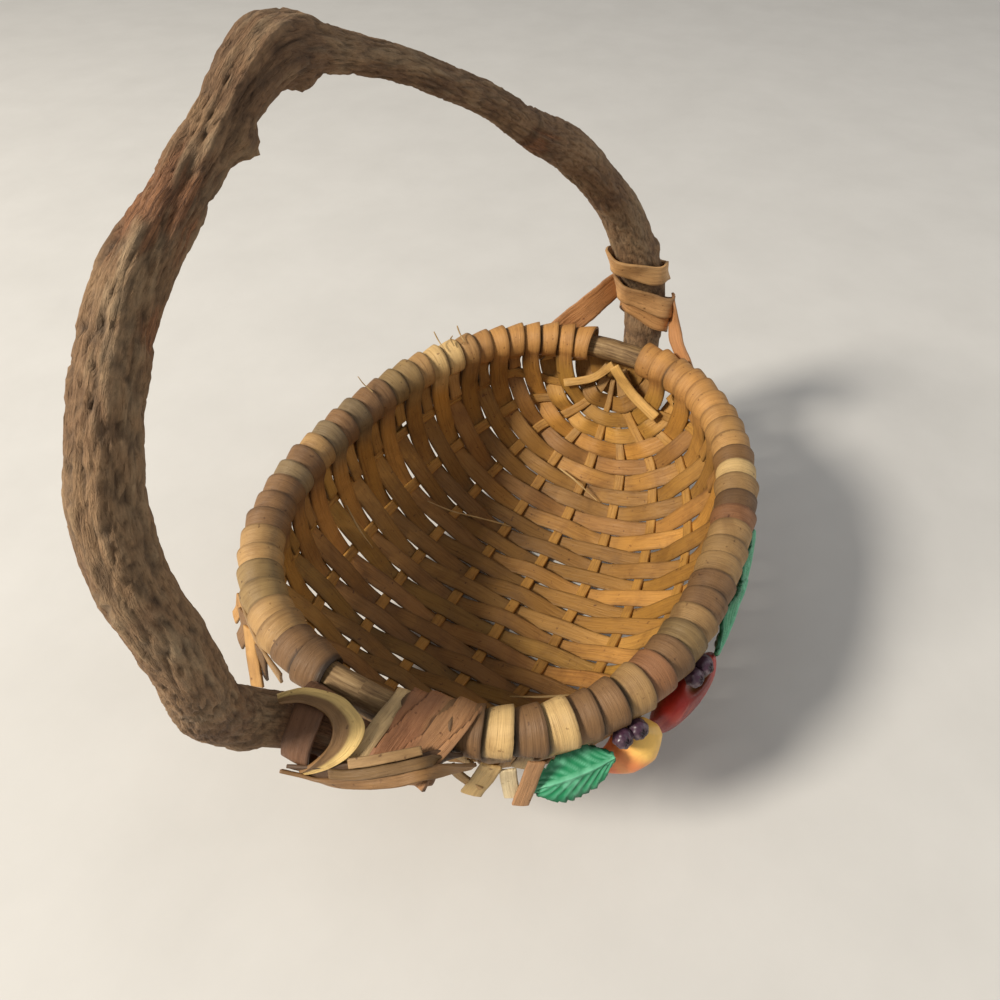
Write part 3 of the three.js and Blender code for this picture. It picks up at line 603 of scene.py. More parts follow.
# The turns on the rim that stand out, by side (1 for the left) and row
PALE_TURNS = {(-1, 3), (-1, 5), (-1, 21), (1, 22), (1, 23)}
DARK_TURNS = {(1, 9), (1, 10), (1, 15), (1, 17), (1, 18), (-1, 6), (-1, 7), (-1, 13), (-1, 14), (-1, 1)}


def rim_tone(row, side):
    """The turns on the rim are golden at the far end, olive and brown nearer, and a few are pale."""
    if (side, row) in PALE_TURNS:
        return PALE
    if (side, row) in DARK_TURNS:
        return BROWN
    far = ease(row, 19, 28)
    choices = [TAN, OLIVE, OLIVE, GREY, BROWN] if side > 0 else [TAN, BROWN, OLIVE, REDDISH, TAN]
    choice = choices[chance.integers(5)] * chance.uniform(0.8, 1.02)
    return blend(choice, AMBER * chance.uniform(0.88, 1.05), far)


# The weave

LONG_TAILED = (1, 2, 4, 7)
TAIL_ROOT = 0.045
RINGS_ROUND_RIM = 10


def weaver_course(row, tails):
    """The course of one weaver: round the left rim, over and under the ribs, round the right rim.
    Each ring holds its two edges, the way its outer face looks, and how far it is over the rim."""
    rim_outside = 1 if row % 2 == 0 else -1
    edge_steps = (-HALF_ROW, HALF_ROW)

    def turn_place(step, side, angle):
        """A place on the turn round the rim, and the way it looks."""
        middle, out = rim_place(row + step, side)
        face = out * rim_outside * math.sin(angle) - UP * math.cos(angle)
        return middle + TURN_RADIUS * face, face

    def turn(side, angle):
        edges = [turn_place(step, side, angle)[0] for step in edge_steps]
        return (*edges, turn_place(0, side, angle)[1], 0.25 + 0.75 * math.sin(angle / 2) ** 2)

    def tail(side, share):
        """The loose end, laid down the other face of the wall."""
        share = share if side > 0 else 1 - share
        normal = wall_normal(row, share) * rim_outside
        edges = [wall(row + step * 0.75, share) + normal * (WEAVE_OFFSET + 1.5) for step in edge_steps]
        return (*edges, normal, 0.25)

    angles = np.radians(np.linspace(30, 300, RINGS_ROUND_RIM))
    rings = [tail(1, tails[0]), tail(1, TAIL_ROOT)] + [turn(1, angle) for angle in angles]
    for order, rib in enumerate(ribs_in_row(row)):
        outside = -rim_outside if order % 2 == 0 else rim_outside
        edges = []
        for step in edge_steps:
            share = rib_share(rib, row + step)
            edges.append(wall(row + step, share) + wall_normal(row, share) * outside * WEAVE_OFFSET)
        rings.append((*edges, wall_normal(row, rib_share(rib, row)) * -rim_outside, 0.0))
    rings += [turn(-1, angle) for angle in angles[::-1]] + [tail(-1, TAIL_ROOT), tail(-1, tails[1])]
    return [np.array(column) for column in zip(*rings)]


def weaver(row):
    """One weaver: uneven in width, cupped, lapped over the next one on the rim, its edges worn."""
    tails = chance.uniform(0.07, 0.1, 2)
    if row in LONG_TAILED:
        tails[1] = chance.uniform(0.12, 0.16)
    first, second, faces, over_rim = weaver_course(row, tails)
    run = lengths_along((first + second) / 2)
    piece = blank(f"splint_row_{row + 1:02d}", 240, 8)
    lap = chance.uniform(2.2, 3.2, 2)
    louvre = chance.uniform(1.1, 1.6) * (1 if row % 2 == 0 else -1)
    width = chance.uniform(0.95, 1.07)
    shift = chance.uniform(-0.1, 0.1, 2)
    askew = chance.uniform(-0.2, 0.2, 2)
    seed = row * 7.3
    half_turn = (RINGS_ROUND_RIM - 1) / 2
    top_ring = 2 + half_turn

    def place(along, across):
        at = along * run[-1]
        low, high, face = read_edges(run, at, first, second, faces)
        rim = np.clip(np.interp(at, run, over_rim), 0, 1)
        right = ease(along, 0.4, 0.6)
        v = across - 0.5
        worn = 0.035 * ripple(at * 0.12, across * 2.2, seed) + 0.012 * ripple(at * 0.7, across * 3, seed)
        spread = width * (1.09 + 0.14 * rim) + 2 * worn
        ring = np.interp(at, run, np.arange(len(run)))
        past_top = np.where(along < 0.5, ring - top_ring, len(run) - 1 - top_ring - ring) / half_turn
        aside = (shift[0] + askew[0] * past_top) * (1 - right) + (shift[1] + askew[1] * past_top) * right
        aside = aside * rim + 0.06 * np.sin(at / 17 + seed) * (1 - rim)
        point = (low + high) / 2 + (high - low) * (v * spread + aside)[:, None]
        over = (lap[0] * (1 - right) + lap[1] * right) * rim
        lift = (v + 0.42) * over + v * louvre * (1 - rim)
        lift = lift + (0.25 - v * v) * (0.3 + 0.9 * rim) + 0.25 * ripple(at * 0.05, seed, across * 0.7)
        return point + face * lift[:, None]

    along, across = lay(piece, place, seed * 40, (run[-1], 9))
    at = along * run[-1]
    outside = blend(rim_tone(row, 1), rim_tone(row, -1), ease(along, 0.45, 0.55))
    outside = outside * (1 + 0.18 * ripple(at * 0.06, across * 1.5, seed))[:, None]
    # Painted shadow: the near edge of each turn on the rim is darkened where the raised lip of the turn
    # before it casts its shadow.
    lip_shadow = 1 - ease(across + 0.05 * ripple(at * 0.2, seed, 3.0), 0.1, 0.26)
    outside = outside * (1 - 0.78 * lip_shadow)[:, None]
    inside = GOLD * chance.uniform(0.7, 1.2) * (1, chance.uniform(0.92, 1.02), chance.uniform(0.8, 1.1))
    inside = inside * (1 + 0.25 * ripple(at * 0.03, seed, 0.0))[:, None]
    # Painted shade: the inside is darkened over the left wall and the bottom towards the near end, where
    # the walls shade it.
    left_bottom_shade = ease(along, 0.2, 0.35) * (1 - ease(along, 0.45, 0.68)) * (1 - ease(row, 18, 30))
    inside = inside * (1 - 0.4 * left_bottom_shade)[:, None]
    if row < 8:
        inside = blend(inside, PALE, ease(along, 0.94, 0.96))
    tone = blend(inside, outside, ease(np.interp(at, run, over_rim), 0.15, 0.5))
    finish_splint(piece, tone * (1 - 0.35 * edge_wear(across, 5))[:, None],
                  splint_finish, "weaver_splint", f"weaver_{row + 1:02d}")


for row in range(ROWS):
    weaver(row)


def end_splint(name, low_row, high_row, seed):
    """A short wide splint that closes the wall behind the gathered tips of the ribs."""
    piece = blank(name, 60, 8)

    def place(along, across):
        laid = []
        for share, part in zip(0.08 + 0.84 * along, across):
            row = round(low_row + (high_row - low_row) * part, 3)
            laid.append(wall(row, share) + wall_normal(row, share) * (WEAVE_OFFSET + 0.9))
        return np.array(laid)

    along, across = lay(piece, place, seed * 30, (90, 14))
    shade = 1 + 0.3 * ripple(along * 5, across * 2, seed)
    finish_splint(piece, GOLD * 0.85 * shade[:, None], splint_finish, "weaver_splint")


end_splint("far_end_splint", 31.4, 32.3, 3.0)
end_splint("near_end_splint", -0.4, -1.3, 6.0)


def tucked_splint(name, course, width, seed):
    """A pale splint tucked across the gathered ribs at the far end."""
    places = spline(np.array([wall(row, share) - wall_normal(row, share) * (WEAVE_OFFSET + height)
                              for row, share, height in course]), 16)
    faces = np.array([-wall_normal(31, 0.5)] * len(places))
    piece = laid_strip(name, places, faces, width, srgb(208, 164, 92), seed, SPLINT, 0.2)
    hand_over(piece, splint_finish, "weaver_splint")


# The rows where the ribs' tips lie: the outermost ribs', the other long ones' and the short ones'
OUTER_TIP, LONG_TIP, SHORT_TIP = -1.05, -0.85, 1.5
RIB_AS_SPLIT = 1.9


def rib(number):
    """One rib: a split rod, flat, with uneven edges and tips that gather below the rim."""
    tip = OUTER_TIP if number in (0, RIBS - 1) else LONG_TIP if number % 2 == 0 else SHORT_TIP
    rows = np.concatenate([[tip], np.arange(math.ceil(tip), ROWS - math.ceil(tip)), [ROWS - 1 - tip]])
    rows = np.unique(rows)
    centres = np.array([wall(row, rib_share(number, row)) for row in rows])
    faces = np.array([wall_normal(row, rib_share(number, row)) for row in rows])
    narrow = 0.1 if number in (2, 6) else 0.5
    full = np.array([1 - narrow * (1 - spread_out(row)) for row in rows])
    run = lengths_along(centres)
    piece = blank(f"split_rib_{number + 1}", 200, 4)
    seed = number * 3.7 + 50

    def place(along, across):
        at = along * run[-1]
        centre = smooth_through(run, centres, at)
        face = unit(smooth_through(run, faces, at))
        level = unit(np.cross(heading(run, centres, at, 1), face))
        half = RIB_WIDTH / 2 * np.interp(at, run, full)
        half = half * (1 + 0.14 * ripple(at * 0.08, across * 3, seed))
        bow = 0.25 * ripple(at * 0.06, seed, 1.0)
        return centre + level * ((across - 0.5) * 2 * half)[:, None] + face * bow[:, None]

    along, across = lay(piece, place, seed * 30, (run[-1], RIB_WIDTH))
    shade = 1 + 0.16 * ripple(along * run[-1] * 0.04, seed, 0.0)
    tone = blend(GOLD * 1.05, TAN, ease(np.abs(along - 0.5), 0.42, 0.49))
    finish_splint(piece, tone * shade[:, None], rib_finish, "rib_splint", f"rib_{number + 1}",
                  thickness=RIB_AS_SPLIT, edge=0.35)


for number in range(RIBS):
    rib(number)


def rim_twig():
    """The twig bent to the rim's oval, whittled in flats where it is bare."""
    piece = blank("bent_rim_twig", 300, 18)
    right = RIM_SIDE.points[::-1] * [1, -1, 1]
    loop = Line(np.vstack([RIM_SIDE.points, right[1:]]))

    def place(along, around):
        centre = loop.at(along)
        tangent = unit(loop.at((along + 0.002) % 1) - loop.at((along - 0.002) % 1))
        out = np.cross(tangent, UP)
        angle = around * 2 * math.pi
        bare = ease(np.abs(centre[:, 0]), 112, 118)
        flats = 0.35 * bare * np.cos(5 * angle + 1.5 * ripple(along % 1 * 40, 3.0, 0.0))
        radius = TWIG / 2 * 0.985 + flats + 0.18 * ripple(
            np.cos(2 * math.pi * along) * 14, np.sin(2 * math.pi * along) * 14, np.sin(angle))
        return centre + round_way(angle, out, UP) * radius[:, None]

    lay(piece, place, 0, (loop.length, 38))
    close_rolled(piece, endless=True)
    hand_over(piece, twig_finish, "rim_twig", "rim_hoop")


rim_twig()

# Knots on the branch: place, height and reach
KNOTS = [
    ((-57.5, 36.0, 177.5), 2.4, 4.5), ((-84.8, 31.0, 172.6), 3.6, 4.0), ((138.0, -7.7, 56.7), 2.2, 4.5),
    ((-154.2, 22.0, 8.8), 2.4, 8.0), ((-146.4, 19.0, 5.4), 1.6, 6.0), ((-151.0, 33.0, 6.0), 2.0, 7.0),
    ((-165.0, 14.0, 60.0), 1.2, 6.0), ((-158.0, 22.0, 112.0), 1.2, 7.0), ((100.0, 14.0, 102.0), 0.8, 5.0),
    ((-20.0, 33.0, 167.0), 0.7, 4.0),
]
KNOT_HOLE = ((-50.5, 34.0, 176.0), 2.6, 2.6)
# Where the bark has peeled off, and how wide, and where along the branch its torn edge lies
PEELED = [((-110.5, 37.3, 168.8), 14.0), ((48.0, 22.0, 131.0), 9.0), ((-128.0, 22.0, 148.0), 7.0)]
TORN_EDGE = 0.333 * HANDLE.length


def handle_frame(share):
    """The branch's centre line with two ways across it that turn as little as they can."""
    centres = HANDLE.at(share)
    tangents = unit(np.gradient(centres, axis=0))
    window = np.ones(7) / 7
    for k in range(3):
        padded = np.concatenate([[tangents[0, k]] * 3, tangents[:, k], [tangents[-1, k]] * 3])
        tangents[:, k] = np.convolve(padded, window, "valid")
    tangents = unit(tangents)
    normals = [unit(np.cross(tangents[0], [0.0, 1.0, 0.0]))]
    for tangent in tangents[1:]:
        normals.append(unit(normals[-1] - tangent * normals[-1].dot(tangent)))
    normals = np.array(normals)
    return centres, normals, np.cross(tangents, normals)


def bark_relief(share, angle, radius, surface):
    """How far the bark stands out of the branch, and how cracked, peeled and raised it looks."""
    run = share * HANDLE.length
    twisted = angle + run * 0.01
    around_x, around_y = np.cos(twisted), np.sin(twisted)
    wrapped = ease(share, 0.9, 0.925)
    stringy = ease(share, 0.47, 0.55) * (1 - 0.6 * ease(share, 0.6, 0.68)) * (1 - wrapped)
    pitted = ease(share, 0.58, 0.66) * (1 - 0.5 * ease(share, 0.84, 0.92)) + 0.25
    broad = ripple(around_x * 1.3, around_y * 1.3, run * 0.022)
    plates = ripple(around_x * 3.1 + 9, around_y * 3.1, run * 0.085 + 0.4 * broad)
    fine = ripple(around_x * 5.5, around_y * 5.5 + 5, run * 0.2)
    pits = ripple(around_x * 3.6, around_y * 3.6 - 7, run * 0.3 + broad)
    grit = ripple(around_x * 9, around_y * 9, run * 0.8)
    fissure = peak(plates, 0.1)
    pit = ease(pits, 0.25, 0.6) * pitted
    rough = 1 - 0.85 * wrapped
    slim = 0.8 + 0.7 * ease(share, 0.47, 0.52) * (1 - ease(share, 0.6, 0.68))
    slim = slim + 0.6 * ease(share, 0.82, 0.88)
    height = 0.075 * radius * broad - slim * (1 - wrapped) - 0.35 * wrapped
    height = height + rough * (0.35 * fine + 0.18 * grit + 0.3 * plates)
    height = height - rough * ((0.5 + 0.15 * stringy) * fissure + 0.7 * pit)
    height = height + 0.55 * stringy * np.sin(6 * twisted + 3 * broad)
    for knot, rise, reach in KNOTS:
        away = np.linalg.norm(surface - knot, axis=1) / reach
        height = height + rise * peak(away, 1) * (1 + 0.12 * np.cos(away * 9))
    knot, depth, reach = KNOT_HOLE
    hole = np.exp(-(np.linalg.norm(surface - knot, axis=1) / reach) ** 4)
    height = height - depth * hole
    past = run - TORN_EDGE + 1.6 * broad
    height = height + 0.9 * (1 - ease(past, -0.8, 0.8)) * ease(past, -60, -6)
    torn = peak(past, 1.1)
    peel = 0 * run
    for middle, spread in PEELED:
        away = np.linalg.norm(surface - middle, axis=1) / spread
        peel = np.maximum(peel, 1 - ease(away + 0.6 * plates + 0.3 * fine, 0.6, 1.1))
    height = height - 0.45 * peel * (1 - torn)
    cracked = 0.7 * fissure * rough * (1 - 0.6 * peel) + 0.6 * pit * rough + 0.9 * torn + hole
    peeled = np.maximum(0.85 * peel, 0.7 * wrapped)
    raised = np.clip(0.7 * fine + 0.9 * broad + 0.4 * plates, 0, 1) * (1 - peel)
    return height, np.stack([np.clip(cracked, 0, 1), peeled, raised], axis=1)


FOOT_TAPER = 14


def handle_branch():
    """The gnarled branch: rolled along its course, with its bark raised and its ends worn round."""
    stations = 520
    piece = blank("gnarled_branch", stations, 84)
    share = np.linspace(0, 1, stations + 1)
    centres, normals, binormals = handle_frame(share)
    relief = {}

    def place(along, around):
        i = np.rint(along * stations).astype(int)
        run = share[i] * HANDLE.length
        angle = around % 1 * 2 * math.pi
        radius = handle_radius(share[i])
        way = round_way(angle, normals[i], binormals[i])
        surface = centres[i] + way * radius[:, None]
        relief["height"], relief["marks"] = bark_relief(share[i], angle, radius, surface)
        ends = np.minimum(run, HANDLE.length - run)
        worn = np.sqrt(np.clip(0.6 + ends / 6, 0, 1))
        worn = worn * (1 - 0.25 * ease(run, HANDLE.length - FOOT_TAPER, HANDLE.length))
        return centres[i] + way * ((radius + relief["height"]) * worn)[:, None]

    lay(piece, place, 0, (HANDLE.length, 60))
    paint(piece, "marks", relief["marks"])
    close_rolled(piece)
    hand_over(piece, bark_finish, "bark", "handle_branch", smooth=80)


handle_branch()


# Lashings

def laid_strip(name, points, faces, width, tone, seed, thickness=LASHING, bow=0.5):
    """A strip laid through points, with faces for the way its outer side looks."""
    points, faces = np.array(points), np.array(faces)
    run = lengths_along(points)
    piece = blank(name, max(24, int(run[-1] / 1.1)), 8)
    widths = np.broadcast_to(width, (len(points),)).astype(float)

    def place(along, across):
        at = along * run[-1]
        centre = smooth_through(run, points, at)
        tangent = unit(heading(run, points, at, 0.5))
        level = unit(np.cross(tangent, smooth_through(run, faces, at)))
        face = unit(np.cross(level, tangent))
        v = across - 0.5
        edge = 1 + 0.06 * ripple(at * 0.12, across * 2, seed) + 0.03 * ripple(at * 0.6, v * 5, seed)
        half = np.interp(at, run, widths) * edge
        lift = bow * (0.25 - v * v) * 2 + 0.22 * ripple(at * 0.09, v * 2, seed + 4)
        return centre + level * (v * half)[:, None] + face * lift[:, None]

    along, across = lay(piece, place, seed * 50, (run[-1], float(np.mean(widths))))
    shade = 1 + 0.16 * ripple(along * run[-1] * 0.05, across * 1.5, seed)
    paint(piece, "tone", np.asarray(tone) * (shade * (1 - 0.3 * edge_wear(across)))[:, None])
    thicken(piece, thickness, min(WORN_EDGE, thickness / 4))
    return piece


def lashing(name, node, points, faces, width, tone, seed, bow=0.5):
    piece = laid_strip(name, points, faces, width, tone, seed, bow=bow)
    hand_over(piece, lashing_finish, "lashing_splint", *([node] if node else []))


def branch_band(name, node, distance, slope_degrees, width, tone, seed, stand_off=0.3):
    """A splint wound aslant round the branch, squared off in front, its end lapped over its start."""
    share = distance / HANDLE.length
    tangent = HANDLE.direction(share, HANDLE_THICKNESS * 1.5 / HANDLE.length)
    aside = unit(TO_RIGHT - tangent * TO_RIGHT.dot(tangent))
    fore = np.cross(aside, tangent)
    rise = handle_radius(share) * math.tan(math.radians(slope_degrees)) / HANDLE.length
    points, faces = [], []
    for turn in np.linspace(0, 2.14 * math.pi, 60) - 1.9:
        x, y = math.cos(turn), math.sin(turn)
        squareness = 4.5 if y > 0 else 2
        fold = (abs(x) ** squareness + abs(y) ** squareness) ** (-1 / squareness)
        reach = (handle_radius(share) + LASHING / 2) * fold + stand_off + 1.4 * ease(turn, 4.0, 4.4)
        middle = HANDLE.at(share - rise * (x + 0.9 * max(0.5 - y, 0)))
        points.append(middle + (aside * x + fore * y) * reach)
        faces.append(aside * x + fore * y)
    lashing(name, node, points, faces, width, tone, seed, bow=-0.1)


branch_band("upper_branch_band", "far_band_upper", 82.0, 41, 9.6, srgb(214, 168, 112), 1.0)
branch_band("middle_branch_band", "far_band_middle", 60.5, 40, 10.6, srgb(208, 160, 106), 2.0, 1.9)
branch_band("lower_branch_band", "far_band_lower", 51.5, 40, 10.0, srgb(196, 146, 92), 3.0)


def beside_rim(row, side, drop, stand_off=0.0):
    """A place outside the turns on the rim, and the level way out of the basket there."""
    centre, out = rim_place(row, side)
    reach = TURN_RADIUS + SPLINT / 2 + CLEAR + LASHING / 2 + stand_off
    return centre + out * reach - UP * drop, out


def beside_branch(share, direction, lift):
    """A place beside the branch, clear of its knots, and the way out there."""
    face = unit(np.array(direction, dtype=float))
    reach = handle_radius(share) * KNOT_ROOM / BRANCH_FLATS + CLEAR + LASHING / 2 + lift
    return HANDLE.at(share) + face * reach, face


def strip(name, node, places, width, tone, seed, bow=0.3):
    """A lashing splint drawn through places, each with the way its outer side looks."""
    points = spline(np.array([point for point, _ in places]), 8)
    stations = np.linspace(0, len(places) - 1, len(points))
    faces = between(stations, range(len(places)), np.array([face for _, face in places]))
    lashing(name, node, points, faces, width, tone, seed, bow=bow)


STRIP_START = 60 / HANDLE.length
for hand, side, way, over, rows, width, tone, seed in (
        ("left", 1, (0.6, 0.8, 0), 1.3, (30.8, 29.6, 29.1), 14.0, srgb(192, 136, 84), 4.0),
        ("right", -1, (0.1, -1, 0), 0.6, (30.7, 29.4, 28.8), 9.0, srgb(188, 134, 84), 5.0)):
    strip(f"far_{hand}_strip", f"far_strip_{hand}", [
        beside_branch(STRIP_START, way, (LASHING + CLEAR) * over), beside_rim(rows[0], side, -TWIG, 5.25),
        beside_rim(rows[1], side, 0), beside_rim(rows[2], side, TWIG * 0.8)], width, tone, seed)


def near_rim_place(y):
    """The rim's centre at the near end, and how much a level cut widens it."""
    half = RIM_WIDTH / 2 * (1 + RIM_TAPER)
    x = -RIM_LENGTH / 2 * (1 - abs(y / half) ** RIM_SQUARENESS) ** (1 / RIM_SQUARENESS)
    slope = (abs(y) / half) ** (RIM_SQUARENESS - 1) * RIM_LENGTH / 2 / half
    return np.array([x, y, 0.0]), math.hypot(1, slope)


def foot_share(y):
    """How far along the branch a place across the basket lies on its foot."""
    shares = np.linspace(0.9, 1, 400)
    return float(np.interp(-y, -HANDLE.at(shares)[:, 1], shares))


def foot_circle(y):
    """The centre and radius of the branch's foot where an upright plane cuts it aslant."""
    share = foot_share(y)
    slant = 1 / abs(HANDLE.direction(share)[1])
    return HANDLE.at(share), (handle_radius(share) * KNOT_ROOM * slant + CLEAR) / FOOT_FLATS


# The turns at which the foot's band and the wraps are drawn furthest to the right
BAND_DRAWN, WRAPS_DRAWN = math.radians(140), math.radians(85)


def drawn_aside(side_share, drawn_turn, angle):
    """Where a wrap lies across the basket: drawn furthest to the right at one turn, back at the other."""
    return (side_share - 0.22 * math.cos(angle - drawn_turn)) * BARE_RIM / 2


def over_foot(y, degrees, lift):
    """A place over the branch's foot, turned up from the way to the far end, and the way out there."""
    centre, radius = foot_circle(y)
    way = upright_way(math.radians(degrees))
    return centre + way * (radius + lift), way


def curled_wrap():
    """The splint that curls over the foot from the left, out to the right and back below. Both edges
    are given by their place across the basket, their turn over the foot and their lift."""
    left = [(14.5, 97, 0.7), (12.2, 94, 2.4), (8.5, 90, 3.5), (5, 89, 3.5), (2.5, 90, 3.5),
            (0.2, 92, 3.5), (-2, 96, 3.5), (-3.7, 101, 3.5), (-5.2, 108, 3.5), (-6.2, 122, 3.5),
            (-5.5, 138, 3.5), (-2.8, 160, 3.5), (2.6, 194, 3.5), (7.5, 228, 3), (10.5, 252, 2)]
    right = [(16.5, 87, 0.7), (14, 78, 2.4), (10.5, 70, 3.5), (4, 63, 3.5), (-1.5, 62, 3.5),
             (-7, 70, 3.5), (-11.5, 80, 3.5), (-13.5, 90, 3.5), (-14.5, 107, 3.5), (-13.5, 128, 3.5),
             (-9.5, 152, 3.5), (-4, 176, 3.5), (2, 202, 3.5), (6, 230, 3), (9, 254, 2)]
    edges = [spline(np.array([over_foot(*place)[0] for place in side]), 12) for side in (left, right)]
    ways = np.array([over_foot(*place)[1] for place in right])
    faces = between(np.linspace(0, len(ways) - 1, len(edges[0])), range(len(ways)), ways)
    run = lengths_along((edges[0] + edges[1]) / 2)
    piece = blank("curled_wrap", 120, 14)

    def place(along, across):
        at = along * run[-1]
        low, high, face = read_edges(run, at, *edges, faces)
        lift = 1.6 * (across - 0.5) ** 2 + 0.25 * ripple(at * 0.08, across * 2, 7.0)
        return low + (high - low) * across[:, None] + face * lift[:, None]

    along, across = lay(piece, place, 350, (run[-1], 8))
    pale = ease(across + 0.1 * ripple(along * 6, 7.0, 0.0), 0.45, 0.62)
    colour = blend(srgb(138, 104, 64), srgb(222, 190, 122), pale)
    shade = 1 + 0.2 * ripple(along * run[-1] * 0.05, across * 3, 7.0)
    finish_splint(piece, colour * shade[:, None], lashing_finish, "lashing_splint", "near_wrap_1",
                  thickness=LASHING)


curled_wrap()


def wrap_course(side_share, rim_radius, from_turn, to_turn):
    """One edge of a wrap drawn round the rim and the branch's foot together."""
    def loop_at(angle):
        rim, spread = near_rim_place(drawn_aside(side_share, WRAPS_DRAWN, angle))
        return rim, (rim_radius + CLEAR) * spread / FOOT_FLATS

    def foot_at(angle):
        return foot_circle(drawn_aside(side_share, WRAPS_DRAWN, angle))

    centre, radius = foot_circle(side_share * BARE_RIM / 2)
    rim, loop = loop_at(WRAPS_DRAWN + math.pi / 2)
    between_centres = rim - centre
    lean = math.atan2(between_centres[2], between_centres[0])
    touch = math.acos((radius - loop) / np.linalg.norm(between_centres))
    start = lean - touch if from_turn is None else from_turn
    end = lean + 2 * math.pi - touch if to_turn is None else to_turn
    points, faces = [], []
    for circle_at, first, last in ((loop_at, start, lean + touch), (foot_at, lean + touch, end)):
        for turn in np.linspace(first, last, 30):
            middle, reach = circle_at(turn)
            faces.append(upright_way(turn))
            points.append(middle + faces[-1] * (reach + LASHING / 2))
    return np.array(points), np.array(faces)


def near_wrap(name, node, shares, rim_radius, tone, seed, from_turn=None, to_turns=(None, None),
              pleats=0.0, edge_tone=None):
    """A wrap between two edges round the rim and the foot, pleated where it is drawn tight."""
    first, second = (wrap_course(share, rim_radius, from_turn, to_turn)
                     for share, to_turn in zip(shares, to_turns))
    run = lengths_along((first[0] + second[0]) / 2)
    keep = np.concatenate([[True], np.diff(run) > 0.05])
    run, edges, faces = run[keep], (first[0][keep], second[0][keep]), first[1][keep]
    piece = blank(name, 130, 42 if pleats else 14)

    def pleat_at(along, across):
        """Which of the strips that lie over one another, and how far across it."""
        count = across * 2.7 + along * run[-1] * 0.022 + 0.12 * ripple(along * 9, across * 2, seed)
        return np.floor(count), count % 1

    def place(along, across):
        at = along * run[-1]
        low, high, face = read_edges(run, at, *edges, faces)
        v = across + 0.04 * ripple(at * 0.12, seed, across * 2)
        v = (v - 0.5) * 1.06 + 0.5
        lift = 0.7 * (0.25 - (across - 0.5) ** 2) + 0.25 * ripple(at * 0.08, across * 2, seed)
        lift = lift + pleats * (0.3 - ease(pleat_at(along, across)[1], 0.0, 0.9))
        if from_turn is None:
            lift = lift + 1.4 * ease(along, 0.9, 0.97)
        return low + (high - low) * v[:, None] + face * lift[:, None]

    along, across = lay(piece, place, seed * 50, (run[-1], abs(shares[0] - shares[1]) * BARE_RIM / 2))
    colour = np.tile(np.asarray(tone), (len(along), 1))
    if edge_tone is not None:
        colour = blend(colour, edge_tone, ease(across + 0.15 * ripple(along * 6, seed, 0.0), 0.4, 0.6))
    shade = 1 + 0.22 * ripple(along * run[-1] * 0.05, across * 3, seed)
    if pleats:
        order, part = pleat_at(along, across)
        # Painted shade: each pleat is darkened towards the edge that tucks under the next pleat.
        shade = shade * (1 + 0.14 * np.sin(order * 2.4 + 1)) * (1 - 0.7 * ease(part, 0.8, 0.98))
    finish_splint(piece, colour * (shade * (1 - 0.35 * edge_wear(across)))[:, None],
                  lashing_finish, "lashing_splint", node, thickness=LASHING)


near_wrap("slanted_wrap", "near_wrap_2", (-0.56, -0.92), TWIG / 2, srgb(208, 178, 130), 8.0)
near_wrap("wide_red_splint", "near_wide_splint", (-0.94, -2.4), TURN_RADIUS + SPLINT / 2,
          srgb(164, 112, 74), 9.0, -0.4, (5.2, 2.7), pleats=1.3, edge_tone=srgb(178, 130, 86))


def foot_band():
    """The dark splint round the branch's foot alone."""
    points, faces = [], []
    for turn in np.linspace(-0.4, 2 * math.pi + 0.1, 46):
        centre, radius = foot_circle(drawn_aside(0.5, BAND_DRAWN, turn))
        faces.append(upright_way(turn))
        points.append(centre + faces[-1] * (radius + LASHING / 2 + 0.9 * ease(turn, 5.4, 6.2)))
    lashing("dark_foot_band", "near_foot_band", points, faces, 11.0, srgb(122, 84, 56), 10.0)


foot_band()


def below_foot(lift, *course):
    """Places over the foot and below it, by place across the basket and turn, with the same lift."""
    return [over_foot(y, degrees, lift) for y, degrees in course]


strip("curved_under_strip", "near_strip_under", [
    *below_foot(3.3, (6, 206), (-2, 186), (-8, 173), (-14, 159), (-20, 146), (-26, 132), (-31, 119),
                (-36, 101)),
    beside_rim(1.7, -1, 1, 0.3)], 8.0, srgb(96, 68, 42), 11.0, -0.2)
strip("lowest_strip", None, [
    *below_foot(4.9, (9, 200), (2, 203), (-4, 199), (-10, 183), (-16, 168), (-21, 156), (-26, 145),
                (-31, 133), (-37, 114)),
    beside_rim(2.3, -1, 2.5, 2.2)], 4.4, srgb(150, 112, 68), 13.0, 0.1)
strip("middle_lower_strip", None, [
    *below_foot(5.6, (-9, 160), (-13, 155), (-18, 146), (-24, 132), (-30, 117), (-36, 99)),
    beside_rim(1.5, -1, 0, 1.6)], 3.6, srgb(128, 98, 58), 14.0, 0.1)
strip("upper_lower_strip", None,
      below_foot(5.0, (-14, 138), (-17, 131), (-22, 119), (-27, 105), (-33, 85)),
      3.4, srgb(170, 136, 92), 15.0, 0.1)
strip("left_side_strip", "near_strip_left", [
    beside_rim(4.6, 1, TWIG * 0.3), beside_rim(3, 1, TWIG * 0.6), beside_rim(1.4, 1, TWIG)],
    9.0, srgb(180, 144, 96), 12.0)


